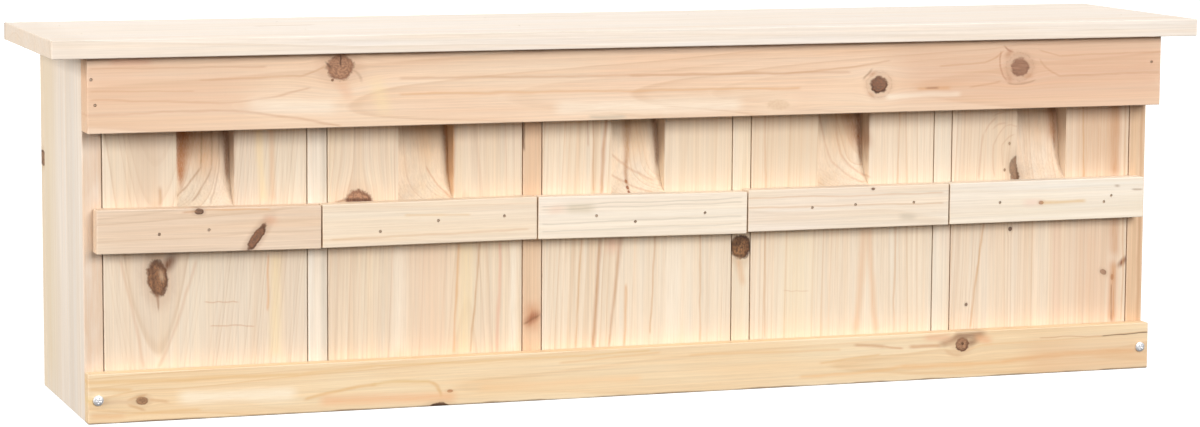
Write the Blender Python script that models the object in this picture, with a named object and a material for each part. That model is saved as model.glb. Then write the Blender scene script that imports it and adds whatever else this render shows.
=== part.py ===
"""Sparrow terrace nest box: five nest rooms side by side under one roof board.

Frame: metres, +Z up, +X along the row of rooms, -Y towards the entrances. The origin is the
centre of the whole box's footprint, on the surface that it stands on.
"""

import math

import bmesh
import bpy
from mathutils import Vector

# Whole box
ROOF_WIDTH = 0.680
ROOF_DEPTH = 0.150
ROOF_THICKNESS = 0.010
OVERALL_HEIGHT = 0.210
BODY_WIDTH = 0.640
ROOF_FRONT_OVERHANG = 0.0067
ROOF_BACK_OVERHANG = 0.0015

# Boards
LEFT_SIDE_THICKNESS = 0.0105
RIGHT_SIDE_THICKNESS = 0.0105
DIVIDER_THICKNESS = 0.011
BACK_THICKNESS = 0.010
FLOOR_THICKNESS = 0.011
FASCIA_THICKNESS = 0.017
FASCIA_HEIGHT = 0.0406
STRIP_THICKNESS = 0.009
STRIP_HEIGHT = 0.0275
BOARD_EASE = 0.0005
EASE_SEGMENTS = 2

# Fits: resting faces, and the play of a door between its dividers
FIT_GAP = 0.0003
DOOR_SIDE_PLAY = 0.0005
CUT_OVERRUN = 0.002

# Rooms: each divider stands this far from its even place, as the row was nailed together
DIVIDER_SHIFTS = (-0.0003, -0.0016, -0.0012, -0.0010)
ROOM_COUNT = len(DIVIDER_SHIFTS) + 1

# Doors
DOOR_THICKNESS = 0.018
DOOR_HEAD_ROOM = 0.030

# Entrance groove in each door: a sloped floor with a round run-out at its foot
GROOVE_WIDTH = 0.032
GROOVE_DEPTH = 0.0135
GROOVE_SLOPE_DEG = 7.0
GROOVE_FOOT_HEIGHT = 0.115
GROOVE_FOOT_RADIUS = 0.024
GROOVE_FOOT_STEPS = 10

# Entrance pocket behind the fascia, over each groove
POCKET_DEPTH = 0.011
POCKET_HEAD = 0.005

# Perch bars: middle height and lean of each one
BAR_HEIGHT = 0.024
BAR_THICKNESS = 0.010
BAR_JOINT = 0.0007
BAR_MIDDLES = (0.1043, 0.1040, 0.1034, 0.1035, 0.1035)
BAR_LEANS_DEG = (0.64, -0.19, 0.6, 0.1, 0.0)

# Brads
BRAD_HEAD_RADIUS = 0.0006
BRAD_SHANK_RADIUS = 0.0004
BRAD_HEAD_THICKNESS = 0.0007
BRAD_TIP = 0.0018
BRAD_SINK = 0.0004
BRAD_SIDES = 8
PERCH_BRAD_LENGTH = 0.022
FASCIA_BRAD_LENGTH = 0.030
ROOF_BRAD_LENGTH = 0.028

# Perch brads, as shares of half the bar's length and of half its height
PERCH_BRAD_SHARES = (
    ((-0.45, -0.12), (-0.01, 0.0)),
    ((-0.47, -0.34), (0.07, 0.07), (0.69, 0.17)),
    ((-0.45, 0.07), (-0.08, -0.27), (0.59, 0.02)),
    ((-0.37, 0.07), (0.06, 0.14), (0.645, 0.15)),
    ((-0.49, -0.02), (0.585, -0.16), (0.66, 0.13)),
)
# Fascia brads: share of the side panel's thickness in from its outer face, and of the fascia's height
FASCIA_BRAD_LEFT_SHARES = ((0.21, 0.72), (0.40, 0.38))
FASCIA_BRAD_RIGHT_SHARES = ((0.58, 0.63),)
# Shares of an upright's depth where the roof is nailed to it
ROOF_BRAD_DEPTH_SHARES = (0.22, 0.80)

# Strip screws
SCREW_HEAD_RADIUS = 0.0029
SCREW_HEAD_HEIGHT = 0.0015
SCREW_RIM_HEIGHT = 0.0005
SCREW_SHANK_RADIUS = 0.0014
SCREW_LENGTH = 0.026
SCREW_TIP = 0.004
SCREW_SIDES = 20
SCREW_INSET = 0.0055
SCREW_HEIGHT = 0.0132
RECESS_ARM = 0.0016
RECESS_HALF_WIDTH = 0.00035
RECESS_DEPTH = 0.0009

# Hanger plates on the back
HANGER_WIDTH = 0.018
HANGER_HEIGHT = 0.052
HANGER_CORNER = 0.006
HANGER_DROP = 0.022
HANGER_CORNER_STEPS = 4
HANGER_SCREW_SPACING = 0.040
HANGER_SCREW_RADIUS = 0.0027
HANGER_SCREW_NECK = 0.0013
HANGER_SCREW_CONE = 0.0018
HANGER_SCREW_LENGTH = 0.0085
HANGER_SCREW_SIDES = 12
KEYHOLE_RADIUS = 0.0045
KEYHOLE_SLOT_RADIUS = 0.0022
KEYHOLE_RISE = 0.009
KEYHOLE_DROP = 0.003
KEYHOLE_STEPS = 8
KEYHOLE_POCKET_DEPTH = 0.0045
KEYHOLE_POCKET_MARGIN = 0.0008

# Places worked out from the sizes
BODY_LEFT = -BODY_WIDTH / 2
BODY_RIGHT = BODY_WIDTH / 2
FASCIA_FRONT = -ROOF_DEPTH / 2 + ROOF_FRONT_OVERHANG
FASCIA_BACK = FASCIA_FRONT + FASCIA_THICKNESS
DOOR_PLANE = FASCIA_BACK + FIT_GAP
BODY_BACK = ROOF_DEPTH / 2 - ROOF_BACK_OVERHANG
BACK_FRONT = BODY_BACK - BACK_THICKNESS
UPRIGHT_BACK = BACK_FRONT - FIT_GAP
ROOF_UNDERSIDE = OVERALL_HEIGHT - ROOF_THICKNESS
WALL_TOP = ROOF_UNDERSIDE - FIT_GAP
FASCIA_BOTTOM = WALL_TOP - FASCIA_HEIGHT
FLOOR_SEAT = FLOOR_THICKNESS + FIT_GAP
DOOR_TOP = ROOF_UNDERSIDE - DOOR_HEAD_ROOM
TRIM_BACK = DOOR_PLANE - FIT_GAP
INNER_LEFT = BODY_LEFT + LEFT_SIDE_THICKNESS
INNER_RIGHT = BODY_RIGHT - RIGHT_SIDE_THICKNESS
HANGER_THICKNESS = ROOF_BACK_OVERHANG - FIT_GAP

# Finishes: base colour, roughness and metallic value of each kind of piece
FINISHES = {
    "roof_wood": ((0.85, 0.76, 0.64), 0.62, 0.0),
    "fascia_wood": ((0.78, 0.58, 0.40), 0.60, 0.0),
    "side_wood": ((0.80, 0.69, 0.54), 0.62, 0.0),
    "divider_wood": ((0.79, 0.66, 0.49), 0.62, 0.0),
    "door_wood": ((0.80, 0.66, 0.48), 0.60, 0.0),
    "perch_wood": ((0.83, 0.71, 0.53), 0.62, 0.0),
    "strip_wood": ((0.80, 0.62, 0.38), 0.60, 0.0),
    "back_wood": ((0.79, 0.66, 0.50), 0.65, 0.0),
    "floor_wood": ((0.79, 0.66, 0.49), 0.65, 0.0),
    "brad_steel": ((0.36, 0.33, 0.30), 0.50, 1.0),
    "screw_steel": ((0.74, 0.74, 0.75), 0.30, 1.0),
    "hanger_steel": ((0.70, 0.70, 0.68), 0.35, 1.0),
}


def clear_scene():
    """Remove every object, so that the scene holds only the nest box."""
    for old in list(bpy.data.objects):
        bpy.data.objects.remove(old, do_unlink=True)


def finish_named(name):
    """Make the Principled material of one finish."""
    colour, roughness, metallic = FINISHES[name]
    material = bpy.data.materials.new(name)
    material.use_nodes = True
    shader = material.node_tree.nodes["Principled BSDF"]
    shader.inputs["Base Color"].default_value = (*colour, 1.0)
    shader.inputs["Roughness"].default_value = roughness
    shader.inputs["Metallic"].default_value = metallic
    material.diffuse_color = (*colour, 1.0)
    return material


def add_object(name, shape, origin, finish=None, parent=None):
    """Turn a bmesh drawn around the origin point into an object that stands there."""
    bmesh.ops.recalc_face_normals(shape, faces=shape.faces)
    mesh = bpy.data.meshes.new(name)
    shape.to_mesh(mesh)
    shape.free()
    made = bpy.data.objects.new(name, mesh)
    bpy.context.collection.objects.link(made)
    if finish:
        mesh.materials.append(finish_named(finish))
    if parent:
        made.parent = parent
        made.location = Vector(origin) - parent.location
    else:
        made.location = origin
    return made


def round_shaded(made, angle_deg=35.0):
    """Shade a turned piece smooth, with its edges kept sharp."""
    made.data.shade_smooth()
    made.data.set_sharp_from_angle(angle=math.radians(angle_deg))
    return made


def add_box(shape, low, high):
    """Add a box between two corners to a bmesh."""
    corners = [(x, y, z) for x in (low[0], high[0]) for y in (low[1], high[1]) for z in (low[2], high[2])]
    verts = [shape.verts.new(corner) for corner in corners]
    for side in ((0, 1, 3, 2), (4, 6, 7, 5), (0, 4, 5, 1), (2, 3, 7, 6), (0, 2, 6, 4), (1, 5, 7, 3)):
        shape.faces.new([verts[index] for index in side])


def add_prism(shape, outline, reach):
    """Add a prism: a flat outline of 3D points, carried along the vector reach."""
    near = [shape.verts.new(point) for point in outline]
    far = [shape.verts.new(Vector(point) + Vector(reach)) for point in outline]
    shape.faces.new(near)
    shape.faces.new(list(reversed(far)))
    for index in range(len(outline)):
        after = (index + 1) % len(outline)
        shape.faces.new((near[index], far[index], far[after], near[after]))


def add_turned(shape, seat, direction, profile, sides):
    """Add a turned solid: profile pairs are the distance along direction from the seat, and the radius."""
    axis = Vector(direction).normalized()
    across = axis.orthogonal().normalized()
    upward = axis.cross(across)
    rings = []
    for along, radius in profile:
        centre = Vector(seat) + axis * along
        if radius == 0:
            rings.append([shape.verts.new(centre)])
            continue
        turns = [math.tau * step / sides for step in range(sides)]
        rings.append([
            shape.verts.new(centre + (across * math.cos(turn) + upward * math.sin(turn)) * radius)
            for turn in turns
        ])
    for first, second in zip(rings, rings[1:]):
        for step in range(sides):
            after = (step + 1) % sides
            if len(first) == 1:
                shape.faces.new((first[0], second[step], second[after]))
            elif len(second) == 1:
                shape.faces.new((first[step], second[0], first[after]))
            else:
                shape.faces.new((first[step], second[step], second[after], first[after]))
    for ring in (rings[0], rings[-1]):
        if len(ring) > 1:
            shape.faces.new(ring)


def middle(low, high):
    """Return the point midway between two corners."""
    return (Vector(low) + Vector(high)) / 2


def board(name, low, high, finish, parent=None, lean_deg=0.0):
    """Make a sawn board between two corners, with its arrises eased."""
    centre = middle(low, high)
    shape = bmesh.new()
    add_box(shape, Vector(low) - centre, Vector(high) - centre)
    made = add_object(name, shape, centre, finish, parent)
    made.rotation_euler = (0, math.radians(lean_deg), 0)
    ease = made.modifiers.new("eased_arris", "BEVEL")
    ease.width = BOARD_EASE
    ease.segments = EASE_SEGMENTS
    ease.limit_method = "NONE"
    return made


def cut(made, name, draw):
    """Cut a board with a guide solid whose shape the function draw adds in world places."""
    shape = bmesh.new()
    draw(shape)
    guide = add_object(made.name + "_" + name, shape, (0, 0, 0))
    guide.hide_render = True
    guide.display_type = "WIRE"
    trim = made.modifiers.new(name, "BOOLEAN")
    trim.operation = "DIFFERENCE"
    trim.solver = "EXACT"
    trim.object = guide


def brad_profile(length):
    """Return the profile of one brad, from its sunk head to its point."""
    return (
        (BRAD_SINK, BRAD_HEAD_RADIUS),
        (BRAD_SINK + BRAD_HEAD_THICKNESS, BRAD_HEAD_RADIUS),
        (BRAD_SINK + BRAD_HEAD_THICKNESS + BRAD_HEAD_RADIUS - BRAD_SHANK_RADIUS, BRAD_SHANK_RADIUS),
        (length - BRAD_TIP, BRAD_SHANK_RADIUS),
        (length, 0),
    )


def drive_brads(name, seats, direction, length, parent=None):
    """Make a numbered brad at each seat, all driven the same way."""
    for index, seat in enumerate(seats):
        shape = bmesh.new()
        add_turned(shape, (0, 0, 0), direction, brad_profile(length), BRAD_SIDES)
        round_shaded(add_object("%s_%d" % (name, index + 1), shape, seat, "brad_steel", parent))


def drill_outer(made, seats, direction, thickness):
    """Drill the board that the brads' heads sit in, right through."""
    radius = BRAD_HEAD_RADIUS + FIT_GAP
    profile = ((-CUT_OVERRUN, radius), (thickness + CUT_OVERRUN, radius))

    def draw(shape):
        for seat in seats:
            add_turned(shape, seat, direction, profile, BRAD_SIDES)

    cut(made, "brad_holes", draw)


def drill_inner(made, name, seats, direction, length, thickness):
    """Drill the board that the brads' points reach, from its face to just past the points."""
    radius = BRAD_SHANK_RADIUS + FIT_GAP
    profile = ((thickness - CUT_OVERRUN, radius), (length + FIT_GAP, radius))

    def draw(shape):
        for seat in seats:
            add_turned(shape, seat, direction, profile, BRAD_SIDES)

    cut(made, name, draw)


def divider_centres():
    """Return the x of each divider's middle."""
    room = (INNER_RIGHT - INNER_LEFT - DIVIDER_THICKNESS * len(DIVIDER_SHIFTS)) / ROOM_COUNT
    pitch = room + DIVIDER_THICKNESS
    first = INNER_LEFT + room + DIVIDER_THICKNESS / 2
    return [first + pitch * index + shift for index, shift in enumerate(DIVIDER_SHIFTS)]


def upright_centres():
    """Return the x of the middle of each side panel and divider, left to right."""
    left = BODY_LEFT + LEFT_SIDE_THICKNESS / 2
    right = BODY_RIGHT - RIGHT_SIDE_THICKNESS / 2
    return [left, *divider_centres(), right]


def room_limits():
    """Return the lowest and highest x of each room's clear width."""
    lows = [INNER_LEFT] + [centre + DIVIDER_THICKNESS / 2 for centre in divider_centres()]
    highs = [centre - DIVIDER_THICKNESS / 2 for centre in divider_centres()] + [INNER_RIGHT]
    return list(zip(lows, highs))


def room_centres():
    """Return the x of each room's middle, where its door and entrance are centred."""
    return [(low + high) / 2 for low, high in room_limits()]


def groove_outline():
    """Return the groove's section as (depth into the door, height) pairs.

    The floor is a straight slope that reaches GROOVE_DEPTH at the fascia's lower edge. An arc
    tangent to it comes out through the door's face at GROOVE_FOOT_HEIGHT.
    """
    slope = math.radians(GROOVE_SLOPE_DEG)
    rise = math.tan(slope)
    offset = GROOVE_DEPTH - FASCIA_BOTTOM * rise - GROOVE_FOOT_RADIUS / math.cos(slope)
    square = 1 + rise ** 2
    half = offset * rise - GROOVE_FOOT_HEIGHT
    rest = offset ** 2 + GROOVE_FOOT_HEIGHT ** 2 - GROOVE_FOOT_RADIUS ** 2
    centre_height = (-half + math.sqrt(half ** 2 - square * rest)) / square
    centre_depth = offset + rise * centre_height
    end = math.acos(-centre_depth / GROOVE_FOOT_RADIUS)
    arc = []
    for step in range(GROOVE_FOOT_STEPS + 1):
        turn = slope + (end - slope) * step / GROOVE_FOOT_STEPS
        depth = centre_depth + GROOVE_FOOT_RADIUS * math.cos(turn)
        arc.append((depth, centre_height - GROOVE_FOOT_RADIUS * math.sin(turn)))
    top = DOOR_TOP + CUT_OVERRUN
    floor_top = (GROOVE_DEPTH + (top - FASCIA_BOTTOM) * rise, top)
    foot = (-CUT_OVERRUN, arc[-1][1])
    return [floor_top, *arc, foot, (-CUT_OVERRUN, top)]


def make_roof():
    """Make the roof board and the brads that hold it to the uprights."""
    low = (-ROOF_WIDTH / 2, -ROOF_DEPTH / 2, ROOF_UNDERSIDE)
    high = (ROOF_WIDTH / 2, ROOF_DEPTH / 2, OVERALL_HEIGHT)
    roof = board("roof_board", low, high, "roof_wood")
    depth = UPRIGHT_BACK - DOOR_PLANE
    seats = [
        (x, DOOR_PLANE + depth * share, OVERALL_HEIGHT)
        for x in upright_centres() for share in ROOF_BRAD_DEPTH_SHARES
    ]
    down = (0, 0, -1)
    drive_brads("roof_brad", seats, down, ROOF_BRAD_LENGTH)
    drill_outer(roof, seats, down, ROOF_THICKNESS)
    return seats


def make_uprights(roof_seats, fascia_seats):
    """Make the side panels and dividers, drilled for every brad and screw that reaches them."""
    names = ["side_panel_left"]
    names += ["divider_%d" % (index + 1) for index in range(len(DIVIDER_SHIFTS))]
    names += ["side_panel_right"]
    thicknesses = [LEFT_SIDE_THICKNESS] + [DIVIDER_THICKNESS] * len(DIVIDER_SHIFTS) + [RIGHT_SIDE_THICKNESS]
    for name, centre, thickness in zip(names, upright_centres(), thicknesses):
        is_side = name.startswith("side")
        low = (centre - thickness / 2, DOOR_PLANE, 0 if is_side else FLOOR_SEAT)
        high = (centre + thickness / 2, UPRIGHT_BACK, WALL_TOP)
        upright = board(name, low, high, "side_wood" if is_side else "divider_wood")
        roof_own = [seat for seat in roof_seats if low[0] < seat[0] < high[0]]
        drill_inner(upright, "roof_brad_holes", roof_own, (0, 0, -1), ROOF_BRAD_LENGTH, ROOF_THICKNESS)
        if is_side:
            fascia_own = [seat for seat in fascia_seats if low[0] < seat[0] < high[0]]
            drill_inner(upright, "fascia_brad_holes", fascia_own, (0, 1, 0),
                        FASCIA_BRAD_LENGTH, FASCIA_THICKNESS)
            drill_strip_screw(upright, centre)


def make_back():
    """Make the back panel, which closes the rooms from behind and covers the side panels' back edges."""
    return board("back_panel", (BODY_LEFT, BACK_FRONT, 0), (BODY_RIGHT, BODY_BACK, WALL_TOP), "back_wood")


def make_floor():
    """Make the floor board, which lies between the side panels and carries the dividers."""
    low = (INNER_LEFT + FIT_GAP, DOOR_PLANE, 0)
    high = (INNER_RIGHT - FIT_GAP, UPRIGHT_BACK, FLOOR_THICKNESS)
    board("floor_board", low, high, "floor_wood")


def make_fascia():
    """Make the fascia, with an entrance pocket in its back over each door's groove."""
    low = (BODY_LEFT, FASCIA_FRONT, FASCIA_BOTTOM)
    high = (BODY_RIGHT, FASCIA_BACK, WALL_TOP)
    fascia = board("fascia_board", low, high, "fascia_wood")

    def draw_pockets(shape):
        for x in room_centres():
            near = (x - GROOVE_WIDTH / 2, FASCIA_BACK - POCKET_DEPTH, FASCIA_BOTTOM - CUT_OVERRUN)
            far = (x + GROOVE_WIDTH / 2, FASCIA_BACK + CUT_OVERRUN, WALL_TOP - POCKET_HEAD)
            add_box(shape, near, far)

    cut(fascia, "entrance_pockets", draw_pockets)
    seats = [
        (BODY_LEFT + LEFT_SIDE_THICKNESS * inward, FASCIA_FRONT, FASCIA_BOTTOM + FASCIA_HEIGHT * up)
        for inward, up in FASCIA_BRAD_LEFT_SHARES
    ]
    seats += [
        (BODY_RIGHT - RIGHT_SIDE_THICKNESS * inward, FASCIA_FRONT, FASCIA_BOTTOM + FASCIA_HEIGHT * up)
        for inward, up in FASCIA_BRAD_RIGHT_SHARES
    ]
    inward = (0, 1, 0)
    drive_brads("fascia_brad", seats, inward, FASCIA_BRAD_LENGTH)
    drill_outer(fascia, seats, inward, FASCIA_THICKNESS)
    return seats


def make_door(index):
    """Make one door: its grooved panel, the perch bar nailed to it, and the bar's brads."""
    number = index + 1
    low_x, high_x = room_limits()[index]
    centre = (low_x + high_x) / 2
    lift = bpy.data.objects.new("door_%d_lift" % number, None)
    lift.location = (centre, DOOR_PLANE, FLOOR_SEAT)
    bpy.context.collection.objects.link(lift)

    low = (low_x + DOOR_SIDE_PLAY, DOOR_PLANE, FLOOR_SEAT)
    high = (high_x - DOOR_SIDE_PLAY, DOOR_PLANE + DOOR_THICKNESS, DOOR_TOP)
    panel = board("door_panel_%d" % number, low, high, "door_wood", lift)

    def draw_groove(shape):
        left = centre - GROOVE_WIDTH / 2
        outline = [(left, DOOR_PLANE + depth, height) for depth, height in groove_outline()]
        add_prism(shape, outline, (GROOVE_WIDTH, 0, 0))

    cut(panel, "entrance_groove", draw_groove)

    ends = upright_centres()[index:index + 2]
    bar_low = ends[0] + BAR_JOINT / 2
    bar_high = ends[1] - BAR_JOINT / 2
    bar_middle = BAR_MIDDLES[index]
    low = (bar_low, TRIM_BACK - BAR_THICKNESS, bar_middle - BAR_HEIGHT / 2)
    high = (bar_high, TRIM_BACK, bar_middle + BAR_HEIGHT / 2)
    bar = board("perch_bar_%d" % number, low, high, "perch_wood", lift, BAR_LEANS_DEG[index])

    seats = []
    for along, up in PERCH_BRAD_SHARES[index]:
        x = (bar_low + bar_high) / 2 + along * (bar_high - bar_low) / 2
        seats.append((x, TRIM_BACK - BAR_THICKNESS, bar_middle + up * BAR_HEIGHT / 2))
    inward = (0, 1, 0)
    drive_brads("perch_brad_%d" % number, seats, inward, PERCH_BRAD_LENGTH, lift)
    drill_outer(bar, seats, inward, BAR_THICKNESS)
    drill_inner(panel, "brad_holes", seats, inward, PERCH_BRAD_LENGTH, BAR_THICKNESS)


def strip_front():
    """Return the y of the bottom strip's front face."""
    return TRIM_BACK - STRIP_THICKNESS


def strip_screw_x(upright_x):
    """Return the x of the strip screw that bites into the side panel standing at this x."""
    return math.copysign(BODY_RIGHT - SCREW_INSET, upright_x)


def drill_strip_screw(upright, centre):
    """Drill a side panel's front edge for its strip screw."""
    def draw(shape):
        radius = SCREW_SHANK_RADIUS + FIT_GAP
        seat = (strip_screw_x(centre), DOOR_PLANE, SCREW_HEIGHT)
        reach = strip_front() + SCREW_LENGTH + FIT_GAP - DOOR_PLANE
        add_turned(shape, seat, (0, 1, 0), ((-CUT_OVERRUN, radius), (reach, radius)), HANGER_SCREW_SIDES)
    cut(upright, "strip_screw_hole", draw)


def make_strip():
    """Make the bottom strip that keeps the doors' feet in, and its two screws."""
    low = (BODY_LEFT, strip_front(), 0)
    high = (BODY_RIGHT, TRIM_BACK, STRIP_HEIGHT)
    strip = board("bottom_strip", low, high, "strip_wood")
    ends = (("left", strip_screw_x(BODY_LEFT)), ("right", strip_screw_x(BODY_RIGHT)))

    def draw_holes(shape):
        radius = SCREW_SHANK_RADIUS + FIT_GAP
        for _, x in ends:
            seat = (x, strip_front(), SCREW_HEIGHT)
            profile = ((-CUT_OVERRUN, radius), (STRIP_THICKNESS + CUT_OVERRUN, radius))
            add_turned(shape, seat, (0, 1, 0), profile, HANGER_SCREW_SIDES)

    cut(strip, "screw_holes", draw_holes)
    for side, x in ends:
        make_pan_screw("strip_screw_" + side, (x, strip_front() - FIT_GAP, SCREW_HEIGHT))


def make_pan_screw(name, seat):
    """Make a pan-head wood screw driven along +Y, with a cross recess in its low dome."""
    dome = SCREW_HEAD_HEIGHT - SCREW_RIM_HEIGHT
    crown = [math.radians(angle) for angle in (70, 45, 20)]
    profile = [(-SCREW_HEAD_HEIGHT, 0)]
    profile += [
        (-SCREW_RIM_HEIGHT - dome * math.sin(angle), SCREW_HEAD_RADIUS * math.cos(angle)) for angle in crown
    ]
    profile += [
        (-SCREW_RIM_HEIGHT, SCREW_HEAD_RADIUS),
        (0, SCREW_HEAD_RADIUS),
        (0, SCREW_SHANK_RADIUS),
        (SCREW_LENGTH - SCREW_TIP, SCREW_SHANK_RADIUS),
        (SCREW_LENGTH, 0),
    ]
    shape = bmesh.new()
    add_turned(shape, (0, 0, 0), (0, 1, 0), profile, SCREW_SIDES)
    screw = round_shaded(add_object(name, shape, seat, "screw_steel"))

    def draw_recess(shape):
        arm, half = RECESS_ARM, RECESS_HALF_WIDTH
        corners = (
            (arm, -half), (arm, half), (half, half), (half, arm), (-half, arm), (-half, half),
            (-arm, half), (-arm, -half), (-half, -half), (-half, -arm), (half, -arm), (half, -half),
        )
        front = seat[1] - SCREW_HEAD_HEIGHT - CUT_OVERRUN
        outline = [(seat[0] + across, front, seat[2] + up) for across, up in corners]
        add_prism(shape, outline, (0, CUT_OVERRUN + RECESS_DEPTH, 0))

    cut(screw, "cross_recess", draw_recess)


def rounded_outline(width, height, corner, steps):
    """Return a rectangle with round corners as (across, up) pairs about its middle."""
    points = []
    for quarter, (sign_x, sign_z) in enumerate(((1, 1), (-1, 1), (-1, -1), (1, -1))):
        for step in range(steps + 1):
            turn = math.radians(90) * (quarter + step / steps)
            across = sign_x * (width / 2 - corner) + corner * math.cos(turn)
            points.append((across, sign_z * (height / 2 - corner) + corner * math.sin(turn)))
    return points


def keyhole_outline(round_radius, slot_radius, rise, steps):
    """Return a keyhole as (across, up) pairs: a round hole with a narrower slot that rises from it."""
    meet = math.asin(slot_radius / round_radius)
    start = math.radians(90) - meet
    sweep = math.tau - 2 * meet
    turns = [start - sweep * step / steps for step in range(steps + 1)]
    points = [(round_radius * math.cos(turn), round_radius * math.sin(turn)) for turn in turns]
    half = steps // 2
    points += [
        (-slot_radius * math.cos(math.pi * step / half), rise + slot_radius * math.sin(math.pi * step / half))
        for step in range(half + 1)
    ]
    return points


def make_hanger(side, x, back):
    """Make one keyhole hanger plate, with the pocket behind its keyhole, and return its screw places."""
    middle_height = WALL_TOP - HANGER_DROP - HANGER_HEIGHT / 2
    keyhole_height = middle_height - KEYHOLE_DROP
    plate_front = BODY_BACK + FIT_GAP
    plate_back = plate_front + HANGER_THICKNESS
    shape = bmesh.new()
    corners = rounded_outline(HANGER_WIDTH, HANGER_HEIGHT, HANGER_CORNER, HANGER_CORNER_STEPS)
    add_prism(shape, [(across, 0, up) for across, up in corners], (0, HANGER_THICKNESS, 0))
    plate = add_object("hanger_plate_" + side, shape, (x, plate_front, middle_height), "hanger_steel")

    def draw_keyhole(shape):
        outline = keyhole_outline(KEYHOLE_RADIUS, KEYHOLE_SLOT_RADIUS, KEYHOLE_RISE, KEYHOLE_STEPS)
        near = [(x + across, plate_front - CUT_OVERRUN, keyhole_height + up) for across, up in outline]
        add_prism(shape, near, (0, HANGER_THICKNESS + 2 * CUT_OVERRUN, 0))

    def draw_pocket(shape):
        radius = KEYHOLE_RADIUS + KEYHOLE_POCKET_MARGIN
        tall = KEYHOLE_RISE + 2 * radius
        outline = rounded_outline(2 * radius, tall, radius, HANGER_CORNER_STEPS)
        near = [
            (x + across, BODY_BACK - KEYHOLE_POCKET_DEPTH, keyhole_height + KEYHOLE_RISE / 2 + up)
            for across, up in outline
        ]
        add_prism(shape, near, (0, KEYHOLE_POCKET_DEPTH + CUT_OVERRUN, 0))

    screws = [
        (x, plate_back, middle_height + offset)
        for offset in (-HANGER_SCREW_SPACING / 2, HANGER_SCREW_SPACING / 2)
    ]
    cut(plate, "keyhole", draw_keyhole)
    cut(plate, "screw_holes", lambda shape: draw_countersinks(shape, screws))
    cut(back, "pocket_" + side, draw_pocket)
    return screws


def hanger_screw_profile(clearance):
    """Return a countersunk screw's profile, widened all round by a clearance for its hole."""
    return (
        (0, HANGER_SCREW_RADIUS + clearance),
        (HANGER_SCREW_CONE + clearance, HANGER_SCREW_NECK + clearance),
        (HANGER_SCREW_LENGTH + clearance, HANGER_SCREW_NECK + clearance),
    )


def draw_countersinks(shape, seats):
    """Add the countersunk holes of the hanger screws to a cutting shape."""
    for seat in seats:
        mouth = HANGER_SCREW_RADIUS + FIT_GAP
        profile = ((-CUT_OVERRUN, mouth), *hanger_screw_profile(FIT_GAP))
        add_turned(shape, seat, (0, -1, 0), profile, HANGER_SCREW_SIDES)


def make_hangers(back):
    """Make the two hanger plates over the end rooms, and their countersunk screws."""
    seats = []
    for side, x in (("left", room_centres()[0]), ("right", room_centres()[-1])):
        seats += make_hanger(side, x, back)
    cut(back, "hanger_screw_holes", lambda shape: draw_countersinks(shape, seats))
    for index, seat in enumerate(seats):
        shape = bmesh.new()
        add_turned(shape, (0, 0, 0), (0, -1, 0), hanger_screw_profile(0), HANGER_SCREW_SIDES)
        round_shaded(add_object("hanger_screw_%d" % (index + 1), shape, seat, "hanger_steel"))


def main():
    """Build the whole nest box."""
    clear_scene()
    make_uprights(make_roof(), make_fascia())
    make_floor()
    for index in range(ROOM_COUNT):
        make_door(index)
    make_strip()
    make_hangers(make_back())


main()
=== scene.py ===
"""Looks of the sparrow terrace nest box: sawn softwood boards, steel brads, screws and hanger plates.

Frame: metres, +Z up, +X along the row of rooms, -Y towards the entrances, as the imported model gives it.
A board also has a frame of its own, in millimetres from its middle: X across its width, Y through its
thickness and Z along its grain. Knots and streaks are given by their place on the part itself, as the
pair of its coordinates that lie in the board's face. Colours are written as they show on a screen, 0 to 255.
"""

import logging
import math
from dataclasses import dataclass
from enum import Enum
from functools import cache
from typing import Union

import bpy
import numpy as np
from mathutils import Matrix, Vector


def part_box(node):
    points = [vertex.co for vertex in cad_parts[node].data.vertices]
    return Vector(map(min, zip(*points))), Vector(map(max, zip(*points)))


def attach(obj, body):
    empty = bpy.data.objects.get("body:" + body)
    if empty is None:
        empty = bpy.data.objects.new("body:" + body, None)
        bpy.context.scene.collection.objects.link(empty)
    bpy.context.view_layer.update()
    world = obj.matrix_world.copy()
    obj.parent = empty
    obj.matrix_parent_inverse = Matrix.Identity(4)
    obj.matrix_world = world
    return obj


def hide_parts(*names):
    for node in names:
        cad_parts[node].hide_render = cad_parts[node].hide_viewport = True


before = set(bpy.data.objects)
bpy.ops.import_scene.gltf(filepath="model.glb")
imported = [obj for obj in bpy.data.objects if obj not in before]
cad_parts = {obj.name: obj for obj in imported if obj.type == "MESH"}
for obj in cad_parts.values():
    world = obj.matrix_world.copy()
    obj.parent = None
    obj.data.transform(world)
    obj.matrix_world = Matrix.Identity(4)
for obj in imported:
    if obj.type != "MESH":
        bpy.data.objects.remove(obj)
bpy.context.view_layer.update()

MILLIMETRE = 0.001
HOUSING = "housing"
STRIP_BODY = "strip"

Colour = tuple[int, int, int]
Pair = tuple[float, float]
Triple = tuple[float, float, float]
Socket = bpy.types.NodeSocket
Node = bpy.types.Node
NodeTree = bpy.types.NodeTree
Feed = Union[Socket, float, tuple]

DARK: Colour = (96, 66, 46)
BROWN: Colour = (152, 106, 74)
FAWN: Colour = (174, 128, 90)
RUST: Colour = (204, 154, 114)
SAND: Colour = (206, 156, 116)
TAN: Colour = (214, 168, 122)
ORANGE: Colour = (224, 172, 122)
YELLOW: Colour = (246, 220, 170)
CREAM: Colour = (253, 240, 220)
GREY: Colour = (204, 188, 166)

ORIGIN: Triple = (0.0, 0.0, 0.0)
WHITE = (1.0, 1.0, 1.0, 1.0)
# Linear colours that tone a knot's heart and collar, and a board's end grain and arrises; the arrises are paled
# partly as wear and partly as a painted highlight
HEART_TONE = (0.84, 0.75, 0.66, 1.0)
COLLAR_TONE = (0.90, 0.74, 0.55, 1.0)
END_TONE = (0.80, 0.70, 0.58, 1.0)
ARRIS_WEAR_AND_HIGHLIGHT = (0.95, 0.88, 0.78, 1.0)
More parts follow.
